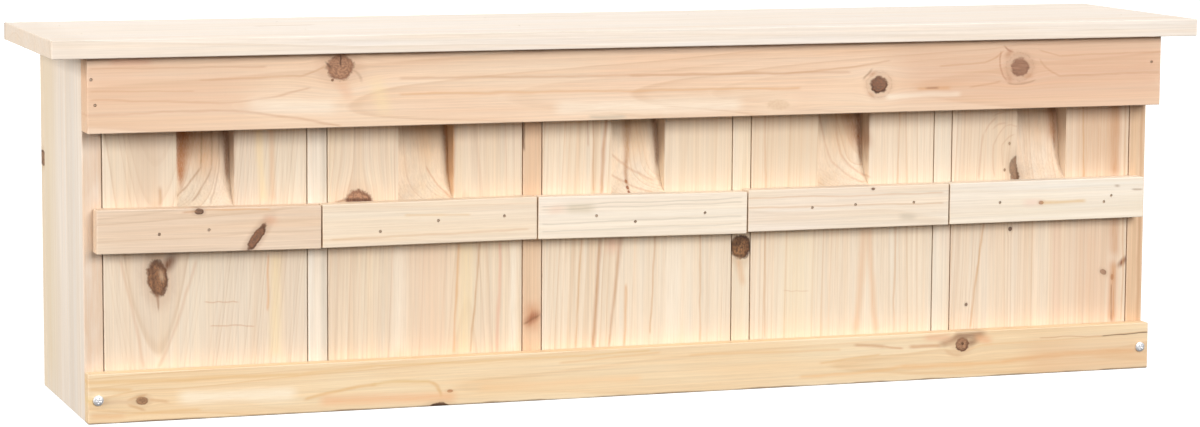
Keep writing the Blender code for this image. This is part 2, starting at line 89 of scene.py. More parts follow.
# How far a pattern moves for each whole seed, in millimetres
RING_STEP: Triple = (61.0, 37.0, 143.0)
FIBRE_STEP: Triple = (17.0, 29.0, 211.0)
# The angle between faces from which an edge shows as sharp
SHARP_DEG = 35.0

# Half width and half length of the bulge in the grain, in radii of its knot
BULGE_WIDE, BULGE_LONG = 1.7, 2.4
# Where a knot's parts lie, in its reach: where its heart and halo fade in, and the middle and width of its rings
KNOT_HEART, KNOT_HALO = (1.14, 0.82), (2.3, 0.9)
KNOT_RIM, KNOT_COLLAR, KNOT_OUTER = (0.92, 0.26), (1.27, 0.20), (1.58, 0.13)
# How far a knot's border wanders, its inner rings in radians per millimetre, and how much they and its speckles show
KNOT_RAGGED, KNOT_RINGS, KNOT_RING_SHADE, KNOT_SPECKLE = 0.7, 3.2, 0.09, (0.72, 0.08)
# How far the pith sways in broad and in close waves, in millimetres, and these waves per millimetre
BROAD_SWAY, CLOSE_SWAY = (5.0, 5.0, 0.0), (0.9, 0.9, 0.0)
BROAD_WAVES, CLOSE_WAVES = (0.020, 0.020, 0.0065), (0.11, 0.11, 0.022)
# How the rings' spacing varies: waves per millimetre, and how many rings a wave takes in
UNEVEN_WAVES, UNEVEN_RINGS = 0.11, 3.4
# Late wood from one ring's start at 0 to its end at 1: a soft part and a thin dark line, in and out, and their shares
SOFT_IN, SOFT_OUT, SOFT_SHARE = (0.25, 0.85), (1.0, 0.90), 0.45
THIN_IN, THIN_OUT, THIN_SHARE = (0.70, 0.86), (1.0, 0.92), 0.55
# How far a band wavers in millimetres, how far its colour reaches in half widths, and how much fibres break it up
BAND_WAVER, BAND_REACH, BAND_FIBRE = 2.2, 2.1, 2.0
# How much of each pattern shows in the wood's colour
CLOUD_SHARE, TINT_SHARE, FLECK_SHARE, END_SHARE, ARRIS_SHARE = 0.8, 0.12, 0.16, 0.35, 0.15
# How much the fibres shade the wood, and what the shade and the warm bands do to red, green and blue
STREAK_SHADE, FIBRE_SHADE, FULL_SHADE = 0.32, 0.20, 0.99
SHADE_POWERS, WARM_SHIFTS, TONE_SHIFT = (1.0, 1.15, 1.35), (0.06, -0.06, -0.22), (-0.012, 0.0, 0.022)
# How much late wood, end grain and knots change the roughness
LATE_ROUGH, END_ROUGH, KNOT_ROUGH = -0.10, 0.15, -0.14
# How high fibres, saw marks and late wood stand and how deep a knot lies, in shares of the relief
FIBRE_RELIEF, SAW_RELIEF, LATE_RELIEF, PIT_RELIEF = 0.5, 0.35, 0.2, -0.8
# The share of a band's colour that its place takes along, too small to matter
IN_TURN = 1e-9

log = logging.getLogger("nest_box")


def linear(colour: Colour) -> tuple[float, float, float, float]:
    """Turn a screen colour into the linear colour that a shader takes, by the sRGB curve.

    Args:
        colour: Red, green and blue as they show on a screen, 0 to 255.

    Returns:
        Linear red, green and blue from 0 to 1, and an alpha of 1.
    """
    shares = np.array(colour, float) / 255
    bent = np.where(shares <= 0.04045, shares / 12.92, ((shares + 0.055) / 1.055) ** 2.4)
    return (*bent.tolist(), 1.0)


class Wiring:
    """Adds shader nodes to one tree and joins their sockets."""

    def __init__(self, tree: NodeTree) -> None:
        """Work in one node tree."""
        self.tree = tree

    def node(self, kind: str, *values: Feed, **settings: object) -> Node:
        """Add a shader node.

        Args:
            kind: The node's type, without its ShaderNode prefix.
            *values: What its first inputs take, in their order.
            **settings: Properties of the node and their values.

        Returns:
            The new node.
        """
        made = self.tree.nodes.new("ShaderNode" + kind)
        for name, value in settings.items():
            setattr(made, name, value)
        for socket, value in zip(made.inputs, values):
            self.feed(socket, value)
        return made

    def feed(self, socket: Socket, value: Feed) -> None:
        """Join a socket to another one, or set its own value.

        Args:
            socket: The input socket.
            value: The output socket that it reads, or its value.
        """
        if isinstance(value, Socket):
            self.tree.links.new(value, socket)
        else:
            socket.default_value = value

    def feeds(self, node: Node, **values: Feed) -> Node:
        """Feed the inputs that are named.

        Args:
            node: The node that has the inputs.
            **values: What each input takes, by its name with _ for each space.

        Returns:
            The same node.
        """
        for name, value in values.items():
            self.feed(node.inputs[name.replace("_", " ")], value)
        return node

    def maths(self, operation: str, *values: Feed) -> Socket:
        """Work out one number from up to three."""
        return self.node("Math", *values, operation=operation).outputs[0]

    def times_plus(self, first: Feed, second: Feed, rest: Feed) -> Socket:
        """Work out the first number times the second, plus the rest."""
        return self.maths("MULTIPLY_ADD", first, second, rest)

    def times(self, first: Feed, second: Feed, *more: Feed) -> Socket:
        """Multiply two or more numbers."""
        product = self.maths("MULTIPLY", first, second)
        return self.times(product, *more) if more else product

    def vectors(self, operation: str, *values: Feed) -> Socket:
        """Work out one vector from up to three, or a number from a length or a dot product."""
        made = self.node("VectorMath", *values, operation=operation)
        return made.outputs["Value" if operation in ("LENGTH", "DOT_PRODUCT") else "Vector"]

    def scaled(self, vector: Feed, factor: Feed) -> Socket:
        """Return a vector times a number."""
        return self.feeds(self.node("VectorMath", vector, operation="SCALE"), Scale=factor).outputs[0]

    def split(self, vector: Feed) -> tuple[Socket, ...]:
        """Return the X, Y and Z of a vector."""
        return tuple(self.node("SeparateXYZ", vector).outputs)

    def joined(self, *values: Feed) -> Socket:
        """Return the vector that has these X, Y and Z."""
        return self.node("CombineXYZ", *values).outputs[0]

    def ramp(self, value: Feed, start: Feed, end: Feed, low: Feed = 0.0, high: Feed = 1.0) -> Socket:
        """Ease a number from low to high as it goes from start to end, which may lie below the start."""
        return self.node("MapRange", value, start, end, low, high, interpolation_type="SMOOTHSTEP").outputs[0]

    def bell(self, value: Feed, middle: Feed, reach: Feed) -> Socket:
        """Ease from 1 where a number is at the middle to 0 where it is a reach away."""
        return self.ramp(self.maths("ABSOLUTE", self.maths("SUBTRACT", value, middle)), reach, 0.0)

    def noise(self, place: Feed, frequency: Triple, detail: float = 2.0, roughness: float = 0.5) -> Node:
        """Add a cloud pattern, with a frequency in lumps per unit along each axis, and finer layers."""
        return self.feeds(self.node("TexNoise", self.vectors("MULTIPLY", place, frequency), noise_dimensions="3D"),
                          Scale=1.0, Detail=detail, Roughness=roughness)

    def swing(self, place: Feed, frequency: Triple, detail: float = 2.0, roughness: float = 0.5) -> Socket:
        """Return a cloud pattern that swings about zero, from -0.5 to 0.5."""
        return self.maths("SUBTRACT", self.noise(place, frequency, detail, roughness).outputs[0], 0.5)

    def blend(self, share: Feed, first: Feed, second: Feed, mode: str = "MIX") -> Socket:
        """Blend two colours.

        Args:
            share: How much of the second colour comes through, 0 to 1.
            first: The colour below.
            second: The colour above.
            mode: Blender's name for the way they blend.

        Returns:
            The blended colour.
        """
        made = self.node("Mix", data_type="RGBA", blend_type=mode)
        for index, given in ((0, share), (6, first), (7, second)):
            self.feed(made.inputs[index], given)
        return made.outputs[2]

    def group(self, tree: NodeTree, **values: Feed) -> Node:
        """Place a node group and feed the inputs that are named."""
        return self.feeds(self.node("Group", node_tree=tree), **values)

    def millimetres(self, middle: Triple = ORIGIN, turn: Triple = ORIGIN) -> Socket:
        """Return the Object coordinates in millimetres, from a middle in metres and in a turned frame."""
        source = self.node("TexCoord").outputs["Object"]
        return self.node("Mapping", source, middle, turn, (MILLIMETRE,) * 3, vector_type="TEXTURE").outputs[0]

    def bump(self, shader: Node, height: Feed, strength: float, distance: float) -> None:
        """Bump a shader's surface by a height, with a distance in millimetres."""
        bump = self.feeds(self.node("Bump"), Strength=strength, Distance=distance * MILLIMETRE, Height=height)
        self.feeds(shader, Normal=bump.outputs[0])


class GroupWiring(Wiring):
    """Wires the inside of a shader node group."""

    def __init__(self, name: str, inputs: dict[str, Feed], outputs: dict[str, str]) -> None:
        """Start the group.

        Args:
            name: The group's name.
            inputs: Each input's name and default: a number, a vector of 3 or a colour of 4.
            outputs: Each output's name and kind: Float, Vector or Color.
        """
        super().__init__(bpy.data.node_groups.new(name, "ShaderNodeTree"))
        for title, default in inputs.items():
            kind = "Float" if isinstance(default, float) else {3: "Vector", 4: "Color"}[len(default)]
            socket = self.tree.interface.new_socket(title, in_out="INPUT", socket_type="NodeSocket" + kind)
            socket.default_value = default
        for title, kind in outputs.items():
            self.tree.interface.new_socket(title, in_out="OUTPUT", socket_type="NodeSocket" + kind)
        self.given = self.tree.nodes.new("NodeGroupInput").outputs[:len(inputs)]
        self.put = self.tree.nodes.new("NodeGroupOutput")

    def done(self, **values: Feed) -> NodeTree:
        """Feed the group's outputs by their names, and return its tree."""
        self.feeds(self.put, **values)
        return self.tree


@cache
def knot_bulge() -> NodeTree:
    """Make the group that spreads the grain round a knot.

    The grain is pushed aside by the distance from the knot's middle, times a bell that is about
    two knots wide and three knots long. Its output is added to the place that the rings read.

    Returns:
        The group's tree.
    """
    inputs = {"Place": ORIGIN, "Middle": ORIGIN, "Radius": 4.0, "Stretch": 1.3, "Push": 0.8}
    wires = GroupWiring("knot_bulge", inputs, {"Shift": "Vector"})
    place, middle, radius, stretch, push = wires.given
    across, _, along = wires.split(wires.vectors("SUBTRACT", place, middle))
    wide = wires.maths("DIVIDE", across, wires.times(radius, BULGE_WIDE))
    long = wires.maths("DIVIDE", along, wires.times(radius, stretch, BULGE_LONG))
    far = wires.maths("ADD", wires.times(wide, wide), wires.times(long, long))
    bell = wires.maths("EXPONENT", wires.times(far, -1.0))
    return wires.done(Shift=wires.joined(wires.times(across, bell, push, -1.0), 0.0, 0.0))


@cache
def knot_face() -> NodeTree:
    """Make the group that paints a knot over the wood.

    The reach is 0 at the knot's middle and 1 at its border, and wanders with the ragged noise. The
    heart is mottled with a faint ring pattern, a dark rim is strongest on its lower side, and a
    pale collar, a broken brown ring and a warm halo lie round it.

    Returns:
        The group's tree.
    """
    inputs = {
        "Place": ORIGIN, "Middle": ORIGIN, "Radius": 4.0, "Stretch": 1.3, "Lean": 0.0, "Ragged": 0.0, "Speckle": 0.0,
        "Colour": WHITE, "Core": (0.4, 0.2, 0.1, 1.0), "Rim": (0.1, 0.05, 0.03, 1.0), "Halo": 0.4, "Edge": 0.5,
        "Collar": 0.0, "Depth": 0.85,
    }
    wires = GroupWiring("knot_face", inputs, {"Colour": "Color", "Inside": "Float", "Pit": "Float"})
    place, middle, radius, stretch, lean, ragged, speckle, colour, core, dark, halo, edge, collar, depth = wires.given
    turned = wires.node("VectorRotate", rotation_type="Y_AXIS")
    wires.feeds(turned, Vector=wires.vectors("SUBTRACT", place, middle), Angle=lean)
    across, _, along = wires.split(turned.outputs[0])
    wide = wires.maths("DIVIDE", across, radius)
    long = wires.maths("DIVIDE", along, wires.times(radius, stretch))
    reach = wires.times_plus(ragged, KNOT_RAGGED, wires.vectors("LENGTH", wires.joined(wide, long, 0.0)))
    inside = wires.times(wires.ramp(reach, *KNOT_HEART), depth)
    mottle = wires.times_plus(wires.ramp(speckle, -0.12, 0.14), *KNOT_SPECKLE)
    mottle = wires.times_plus(wires.maths("SINE", wires.times(reach, radius, KNOT_RINGS)), KNOT_RING_SHADE, mottle)
    heart = wires.blend(1.0, wires.blend(mottle, core, dark), HEART_TONE, "MULTIPLY")
    low_side = wires.ramp(wires.maths("ADD", wide, wires.times(long, 0.4)), -0.9, 0.7, 0.35, 1.0)
    rim = wires.times(wires.bell(reach, *KNOT_RIM), edge, low_side)
    warm = wires.blend(0.5, core, colour)
    stain = wires.blend(wires.times(wires.ramp(reach, *KNOT_HALO), halo), colour, warm)
    stain = wires.blend(wires.times(wires.bell(reach, *KNOT_COLLAR), collar, 0.7), stain, COLLAR_TONE)
    broken = wires.ramp(speckle, -0.12, 0.10)
    stain = wires.blend(wires.times(wires.bell(reach, *KNOT_OUTER), collar, broken), stain, core)
    painted = wires.blend(rim, wires.blend(inside, stain, heart), dark)
    return wires.done(Colour=painted, Inside=inside, Pit=wires.maths("MAXIMUM", rim, wires.times(inside, mottle)))


@cache
def growth_rings() -> NodeTree:
    """Make the group of growth rings round a pith line that runs along the grain.

    A point's distance from the swaying pith, plus the taper times its place along the grain, is
    counted in rings. In each ring the late wood eases in, ends in a thin dark line and stops sharply.

    Returns:
        The group's tree.
    """
    inputs = {
        "Place": ORIGIN, "Pith": (0.0, 30.0, 0.0), "Spacing": 2.6, "Taper": 0.0, "Lean": 0.0, "Sway": 1.0,
        "Seed": 0.0,
    }
    wires = GroupWiring("growth_rings", inputs, {"Late": "Float", "Tone": "Float", "Tint": "Float"})
    place, pith, spacing, taper, lean, sway, seed = wires.given
    seeded = wires.vectors("ADD", place, wires.scaled(RING_STEP, seed))
    half = (0.5, 0.5, 0.5)
    broad = wires.noise(seeded, BROAD_WAVES, 1.5, 0.4).outputs["Color"]
    close = wires.noise(seeded, CLOSE_WAVES, 1.0, 0.4).outputs["Color"]
    broad = wires.vectors("MULTIPLY", wires.vectors("SUBTRACT", broad, half), BROAD_SWAY)
    close = wires.vectors("MULTIPLY", wires.vectors("SUBTRACT", close, half), CLOSE_SWAY)
    swayed = wires.scaled(wires.vectors("ADD", broad, close), sway)
    across, depth, _ = wires.split(wires.vectors("ADD", wires.vectors("SUBTRACT", place, pith), swayed))
    _, _, along = wires.split(place)
    across = wires.maths("SUBTRACT", across, wires.times(lean, along))
    distance = wires.vectors("LENGTH", wires.joined(across, depth, 0.0))
    distance = wires.maths("ADD", distance, wires.times(taper, along))
    uneven = wires.node("TexNoise", noise_dimensions="1D")
    wires.feeds(uneven, W=wires.times_plus(distance, UNEVEN_WAVES, seed), Scale=1.0, Detail=1.0)
    count = wires.times_plus(uneven.outputs[0], UNEVEN_RINGS, wires.maths("DIVIDE", distance, spacing))
    phase = wires.maths("FRACT", count)
    soft = wires.times(wires.ramp(phase, *SOFT_IN), wires.ramp(phase, *SOFT_OUT))
    thin = wires.times(wires.ramp(phase, *THIN_IN), wires.ramp(phase, *THIN_OUT))
    tone = wires.node("TexWhiteNoise", noise_dimensions="1D")
    wires.feeds(tone, W=wires.maths("ADD", wires.maths("FLOOR", count), seed))
    tint, _, _ = wires.split(tone.outputs["Color"])
    late = wires.times_plus(thin, THIN_SHARE, wires.times(soft, SOFT_SHARE))
    return wires.done(Late=late, Tone=tone.outputs["Value"], Tint=tint)


@cache
def wood_fibres() -> NodeTree:
    """Make the group of patterns drawn out along the grain, and the shared noises of knots and bands.

    Returns:
        The group's tree.
    """
    names = ("Streak", "Fibre", "Fleck", "Cloud", "Warm", "Waver", "Ragged", "Speckle")
    inputs = {"Place": ORIGIN, "Grain": ORIGIN, "Seed": 0.0}
    wires = GroupWiring("wood_fibres", inputs, {name: "Float" for name in names})
    place, grain, seed = wires.given
    shift = wires.scaled(FIBRE_STEP, seed)
    grain = wires.vectors("ADD", grain, shift)
    place = wires.vectors("ADD", place, shift)
    return wires.done(
        Streak=wires.swing(grain, (0.85, 0.85, 0.010), 3.0, 0.55),
        Fibre=wires.swing(grain, (3.6, 3.6, 0.07), 3.0, 0.6),
        Fleck=wires.ramp(wires.swing(grain, (2.2, 2.2, 0.16), 1.0, 0.4), 0.20, 0.28),
        Cloud=wires.ramp(wires.swing(grain, (0.035, 0.035, 0.009)), -0.14, 0.14),
        Warm=wires.swing(grain, (0.24, 0.24, 0.006), 2.0, 0.5),
        Waver=wires.swing(place, (0.16, 0.16, 0.045), 2.0, 0.5),
        Ragged=wires.swing(place, (0.40, 0.40, 0.28), 3.0, 0.6),
        Speckle=wires.swing(place, (0.85, 0.85, 0.60), 3.0, 0.65),
    )


@cache
def coloured_streak() -> NodeTree:
    """Make the group that lays a soft coloured band between two points of a board's face.

    Its middle line bows to the left of the way by bow * 4 t (1 - t), where t goes from 0 at the
    start to 1 at the end, and wavers with the fibres. The colour eases out past its half width,
    which may grow or shrink to a share of itself at the end, and past both ends. The place goes
    through it with a share of the colour too small to matter, so that the renderer works the
    bands out one after the other: side by side, many of them don't fit in its store.

    Returns:
        The group's tree.
    """
    inputs = {
        "Place": ORIGIN, "Start": ORIGIN, "Way": (0.0, 0.0, 1.0), "Side": (-1.0, 0.0, 0.0), "Length": 9.0,
        "Half Width": 2.0, "Tail": 1.0, "Bow": 0.0, "Waver": 0.0, "Fibre": 0.0, "Colour": WHITE,
        "Tint": (0.5, 0.3, 0.2, 1.0), "Strength": 0.5,
    }
    wires = GroupWiring("coloured_streak", inputs, {"Colour": "Color", "Place": "Vector"})
    place, start, way, side, length, half_width, tail, bow, waver, fibre, colour, tint, strength = wires.given
    gone = wires.vectors("SUBTRACT", place, start)
    along = wires.vectors("DOT_PRODUCT", gone, way)
    across = wires.vectors("DOT_PRODUCT", gone, side)
    share = wires.maths("MINIMUM", wires.maths("MAXIMUM", wires.maths("DIVIDE", along, length), 0.0), 1.0)
    hump = wires.times(share, wires.maths("SUBTRACT", 1.0, share), 4.0)
    off = wires.maths("SUBTRACT", across, wires.times(hump, bow))
    off = wires.maths("ABSOLUTE", wires.times_plus(waver, BAND_WAVER, off))
    width = wires.times(half_width, wires.times_plus(wires.maths("SUBTRACT", tail, 1.0), share, 1.0))
    body = wires.ramp(off, wires.times(width, BAND_REACH), 0.0)
    fade = wires.times_plus(half_width, 1.2, 1.0)
    back = wires.times(fade, -1.0)
    ends = wires.times(wires.ramp(along, back, fade), wires.ramp(wires.maths("SUBTRACT", length, along), back, fade))
    share = wires.times(body, ends, wires.times(strength, wires.times_plus(fibre, BAND_FIBRE, 1.0)))
    laid = wires.blend(share, colour, tint)
    return wires.done(Colour=laid, Place=wires.vectors("MULTIPLY_ADD", laid, (IN_TURN,) * 3, place))


@cache
def board_edges() -> NodeTree:
    """Make the group that finds a board's arrises, end grain and saw marks from its half sizes. The arrises are paled
    later as wear and as a painted highlight.

    The middle one of a point's three distances to the board's faces is small only near an arris.

    Returns:
        The group's tree.
    """
    inputs = {"Place": ORIGIN, "Half": (10.0, 10.0, 10.0)}
    wires = GroupWiring("board_edges", inputs, {"Arris": "Float", "End": "Float", "Saw": "Float"})
    place, half = wires.given
    first, second, third = wires.split(wires.vectors("SUBTRACT", half, wires.vectors("ABSOLUTE", place)))
    least = wires.maths("MINIMUM", first, second)
    most = wires.maths("MAXIMUM", first, second)
    near = wires.maths("MAXIMUM", least, wires.maths("MINIMUM", most, third))
    width = wires.times_plus(wires.noise(place, (0.5, 0.5, 0.5), 3.0, 0.6).outputs[0], 2.4, -0.3)
    return wires.done(
        Arris=wires.ramp(near, width, wires.times(width, 0.2)),
        End=wires.ramp(third, 0.6, 0.25),
        Saw=wires.noise(place, (0.05, 0.05, 0.55), 2.0, 0.5).outputs[0],
    )


class GrainRun(Enum):
    """Which way a board's grain runs: the axes that lie across, through and along the board."""

    UPRIGHT = ((1, 0, 0), (0, 1, 0), (0, 0, 1))
    UPRIGHT_EDGE_ON = ((0, -1, 0), (1, 0, 0), (0, 0, 1))
    LYING_ON_EDGE = ((0, 0, -1), (0, 1, 0), (1, 0, 0))
    LYING_FLAT = ((0, 1, 0), (0, 0, 1), (1, 0, 0))

    def turn(self, lean: float = 0.0) -> Matrix:
        """Return the board frame's rotation, with a lean about the Y axis in radians."""
        return Matrix.Rotation(lean, 3, "Y") @ Matrix(self.value).transposed()

    def face(self) -> tuple[int, ...]:
        """Return the two of X, Y and Z, as 0, 1 and 2, that lie in the board's face."""
        return tuple(axis for axis in range(3) if not self.value[1][axis])


@dataclass(frozen=True)
class BoardFrame:
    """A board's own frame and its half sizes in millimetres across, through and along it."""

    middle: Vector
    turn: Matrix
    half: Vector
    face: tuple[int, ...]

    @classmethod
    def of(cls, node: str, run: GrainRun, lean: float = 0.0) -> "BoardFrame":
        """Work out the frame of a CAD board.

        Args:
            node: The CAD node's name.
            run: Which way its grain runs.
            lean: How far it leans about the Y axis, in radians.

        Returns:
            The board's frame. A leaning board's own length and height are solved from its upright box.
        """
        low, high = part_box(node)
        size = high - low
        if lean:
            rise, fall = math.cos(lean), abs(math.sin(lean))
            square = rise ** 2 - fall ** 2
            length, height = (size.x * rise - size.z * fall) / square, (size.z * rise - size.x * fall) / square
            size = Vector((length, size.y, height))
        half = Matrix(run.value) @ size / 2 / MILLIMETRE
        return cls((low + high) / 2, run.turn(lean), Vector(abs(value) for value in half), run.face())

    def seat(self, place: Pair) -> Triple:
        """Turn a place on the part into the board's own frame.

        Args:
            place: The two coordinates of the part, in millimetres, that lie in the board's face.

        Returns:
            The place from the board's middle, half way through its thickness.
        """
        point = self.middle / MILLIMETRE
        for axis, value in zip(self.face, place):
            point[axis] = value
        across, _, along = self.turn.transposed() @ (point - self.middle / MILLIMETRE)
        return (across, 0.0, along)


@dataclass(frozen=True)
class Knot:
    """A knot: its place on the part and its radius across the grain, in millimetres."""

    place: Pair
    radius: float
    stretch: float = 1.3
    lean_deg: float = 0.0
    core: Colour = (176, 132, 98)
    rim: Colour = (112, 76, 54)
    halo: float = 0.35
    edge: float = 0.5
    collar: float = 0.0
    push: float = 0.8
    depth: float = 0.85


@dataclass(frozen=True)
class Streak:
    """A coloured band between two places on the part, in millimetres, with its colour and strength."""

    start: Pair
    end: Pair
    half_width: float
    colour: Colour
    strength: float
    bow: float = 0.0
    tail: float = 1.0


def bands(*rows: tuple) -> tuple[Streak, ...]:
    """Return the coloured bands of these rows: start and end as four numbers, and then a Streak's other values."""
    return tuple(Streak(row[:2], row[2:4], *row[4:]) for row in rows)


@dataclass(frozen=True)
class Figure:
    """How the growth rings lie in a board, in millimetres from its middle."""

    pith: Pair = (0.0, 30.0)
    spacing: float = 2.6
    taper: float = 0.0
    lean: float = 0.0
    sway: float = 0.6
    contrast: float = 0.5


@dataclass(frozen=True)
class WoodLayers:
    """The place and the patterns that the layers of one board's material read."""

    wires: Wiring
    board: BoardFrame
    place: Socket
    rings: Node
    fibres: Node
    edges: Node


@dataclass(frozen=True)
class SawnWood:
    """The finish of one softwood board: its colours, growth rings, knots and coloured bands."""

    name: str
    run: GrainRun
    early: Colour
    late: Colour
    figure: Figure
    cloud: Colour = (240, 222, 196)
    seed: float = 0.0
    knots: tuple[Knot, ...] = ()
    streaks: tuple[Streak, ...] = ()
    roughness: float = 0.62
    gloss: float = 0.3
    relief: float = 0.35
    relief_depth: float = 0.25

    def material(self, board: BoardFrame) -> bpy.types.Material:
        """Make the board's material.

        Args:
            board: The frame and half sizes of the board that gets the finish.

        Returns:
            A Principled material that reads the board's Object coordinates.
        """
        made, wires, shader = new_material(self.name)
        place = wires.millimetres(tuple(board.middle), tuple(board.turn.to_euler()))
        grain = self._pushed(wires, place, board)
        figure = self.figure
        rings = wires.group(growth_rings(), Place=grain, Pith=(*figure.pith, 0.0), Spacing=figure.spacing,
                            Taper=figure.taper, Lean=figure.lean, Sway=figure.sway, Seed=self.seed)
        fibres = wires.group(wood_fibres(), Place=place, Grain=grain, Seed=self.seed)
        edges = wires.group(board_edges(), Place=place, Half=tuple(board.half))
        layers = WoodLayers(wires, board, place, rings, fibres, edges)
        colour = self._grain_colour(layers)
        inside, pit = 0.0, 0.0
        for knot in self.knots:
            face = self._knotted(layers, knot, colour)
            colour = face.outputs["Colour"]
            inside = wires.maths("MAXIMUM", inside, face.outputs["Inside"])
            pit = wires.maths("MAXIMUM", pit, face.outputs["Pit"])
        for streak in self.streaks:
            band = self._streaked(layers, streak, place, colour)
            colour, place = band.outputs["Colour"], band.outputs["Place"]
        wires.feeds(shader, Base_Color=colour, Specular_IOR_Level=self.gloss)
        self._surface(layers, shader, inside, pit)
        return made

    def _pushed(self, wires: Wiring, place: Socket, board: BoardFrame) -> Socket:
        """Spread the grain round each knot.

        Args:
            wires: The material's wiring.
            place: The place in the board's own frame.
            board: That frame.

        Returns:
            The place that the grain reads.
        """
        pushed = place
        for knot in self.knots:
            if knot.push:
                bulge = wires.group(knot_bulge(), Place=place, Middle=board.seat(knot.place), Radius=knot.radius,
                                    Stretch=knot.stretch, Push=knot.push)
                pushed = wires.vectors("ADD", pushed, bulge.outputs[0])
        return pushed

    def _grain_colour(self, layers: WoodLayers) -> Socket:
        """Blend early wood, late wood, clouds and fibres, with darker end grain and paler arrises.

        Args:
            layers: The patterns of the board.

        Returns:
            The colour of the wood without its knots and bands.
        """
        wires, rings, fibres, edges = layers.wires, layers.rings, layers.fibres, layers.edges
        late, warm = linear(self.late), fibres.outputs["Warm"]
        cloudy = wires.times(fibres.outputs["Cloud"], CLOUD_SHARE)
        base = wires.blend(cloudy, linear(self.early), linear(self.cloud))
        base = wires.blend(wires.times(rings.outputs["Tint"], TINT_SHARE), base, late)
        uneven = wires.times_plus(rings.outputs["Tone"], 0.9, 0.3)
        contrast = wires.times_plus(edges.outputs["End"], 0.25, self.figure.contrast)
        colour = wires.blend(wires.times(rings.outputs["Late"], uneven, contrast), base, late)
        shade = wires.times_plus(fibres.outputs["Streak"], STREAK_SHADE, FULL_SHADE)
        shade = wires.times_plus(fibres.outputs["Fibre"], FIBRE_SHADE, shade)
        tint = wires.joined(*(wires.times_plus(warm, shift, wires.maths("POWER", shade, power))
                              for power, shift in zip(SHADE_POWERS, WARM_SHIFTS)))
        colour = wires.blend(1.0, colour, wires.vectors("ADD", tint, TONE_SHIFT), "MULTIPLY")
        colour = wires.blend(wires.times(fibres.outputs["Fleck"], FLECK_SHARE), colour, late)
        colour = wires.blend(wires.times(edges.outputs["End"], END_SHARE), colour, END_TONE, "MULTIPLY")
        # Pale the arrises: partly wear, partly a painted highlight where the rounded edge catches the light.
        return wires.blend(wires.times(edges.outputs["Arris"], ARRIS_SHARE), colour, ARRIS_WEAR_AND_HIGHLIGHT)

    def _knotted(self, layers: WoodLayers, knot: Knot, colour: Socket) -> Node:
        """Paint one knot over the colour.

        Args:
            layers: The patterns of the board.
            knot: The knot.
            colour: The colour below it.

        Returns:
            The node of its group.
        """
        noises = layers.fibres.outputs
        return layers.wires.group(
            knot_face(), Place=layers.place, Middle=layers.board.seat(knot.place), Radius=knot.radius,
            Stretch=knot.stretch, Lean=math.radians(knot.lean_deg), Ragged=noises["Ragged"],
            Speckle=noises["Speckle"], Colour=colour, Core=linear(knot.core), Rim=linear(knot.rim),
            Halo=knot.halo, Edge=knot.edge, Collar=knot.collar, Depth=knot.depth,
        )

    def _streaked(self, layers: WoodLayers, streak: Streak, place: Socket, colour: Socket) -> Node:
        """Lay one coloured band over the colour.

        Args:
            layers: The patterns of the board.
            streak: The band.
            place: The place that has come through the bands below.
            colour: The colour below it.

        Returns:
            The node of its group.
        """
        start, end = (Vector(layers.board.seat(point)) for point in (streak.start, streak.end))
        way = (end - start).normalized()
        noises = layers.fibres.outputs
        return layers.wires.group(
            coloured_streak(), Place=place, Start=tuple(start), Way=tuple(way), Side=(-way.z, 0.0, way.x),
            Length=(end - start).length, Half_Width=streak.half_width, Tail=streak.tail, Bow=streak.bow,
            Waver=noises["Waver"], Fibre=noises["Fibre"], Colour=colour, Tint=linear(streak.colour),
            Strength=streak.strength,
        )

    def _surface(self, layers: WoodLayers, shader: Node, inside: Feed, pit: Feed) -> None:
        """Feed the shader's roughness and its bumps: fibres, rings, saw marks and knots.

        Args:
            layers: The patterns of the board.
            shader: The material's shader.
            inside: How far a point is inside a knot.
            pit: How deep a knot's rim and cracks are.
        """
        wires, late, edges = layers.wires, layers.rings.outputs["Late"], layers.edges.outputs
        rough = wires.times_plus(edges["End"], END_ROUGH, wires.times_plus(late, LATE_ROUGH, self.roughness))
        wires.feeds(shader, Roughness=wires.times_plus(inside, KNOT_ROUGH, rough))
        height = wires.times(edges["Saw"], SAW_RELIEF)
        height = wires.times_plus(layers.fibres.outputs["Fibre"], FIBRE_RELIEF, height)
        height = wires.times_plus(pit, PIT_RELIEF, wires.times_plus(late, LATE_RELIEF, height))
        wires.bump(shader, height, self.relief, self.relief_depth)


def new_material(name: str) -> tuple[bpy.types.Material, Wiring, Node]:
    """Make a material.

    Args:
        name: The material's name.

    Returns:
        The material, its wiring and its Principled shader.
    """
    made = bpy.data.materials.new(name)
    made.use_nodes = True
    return made, Wiring(made.node_tree), made.node_tree.nodes["Principled BSDF"]


@cache
def metal_wear() -> NodeTree:
    """Make the group of wear on plated steel: crystal spangle, fine scratches and dull stains.

    Returns:
        The group's tree.
    """
    wires = GroupWiring("metal_wear", {"Place": ORIGIN}, {"Spangle": "Float", "Scratch": "Float", "Stain": "Float"})
    place, = wires.given
    cells = wires.feeds(wires.node("TexVoronoi"), Vector=place, Scale=0.6)
    return wires.done(
        Spangle=wires.split(cells.outputs["Color"])[0],
        Scratch=wires.noise(place, (6.0, 6.0, 0.35), 2.0, 0.5).outputs[0],
        Stain=wires.ramp(wires.swing(place, (0.5, 0.5, 0.5), 4.0, 0.6), -0.02, 0.16),
    )


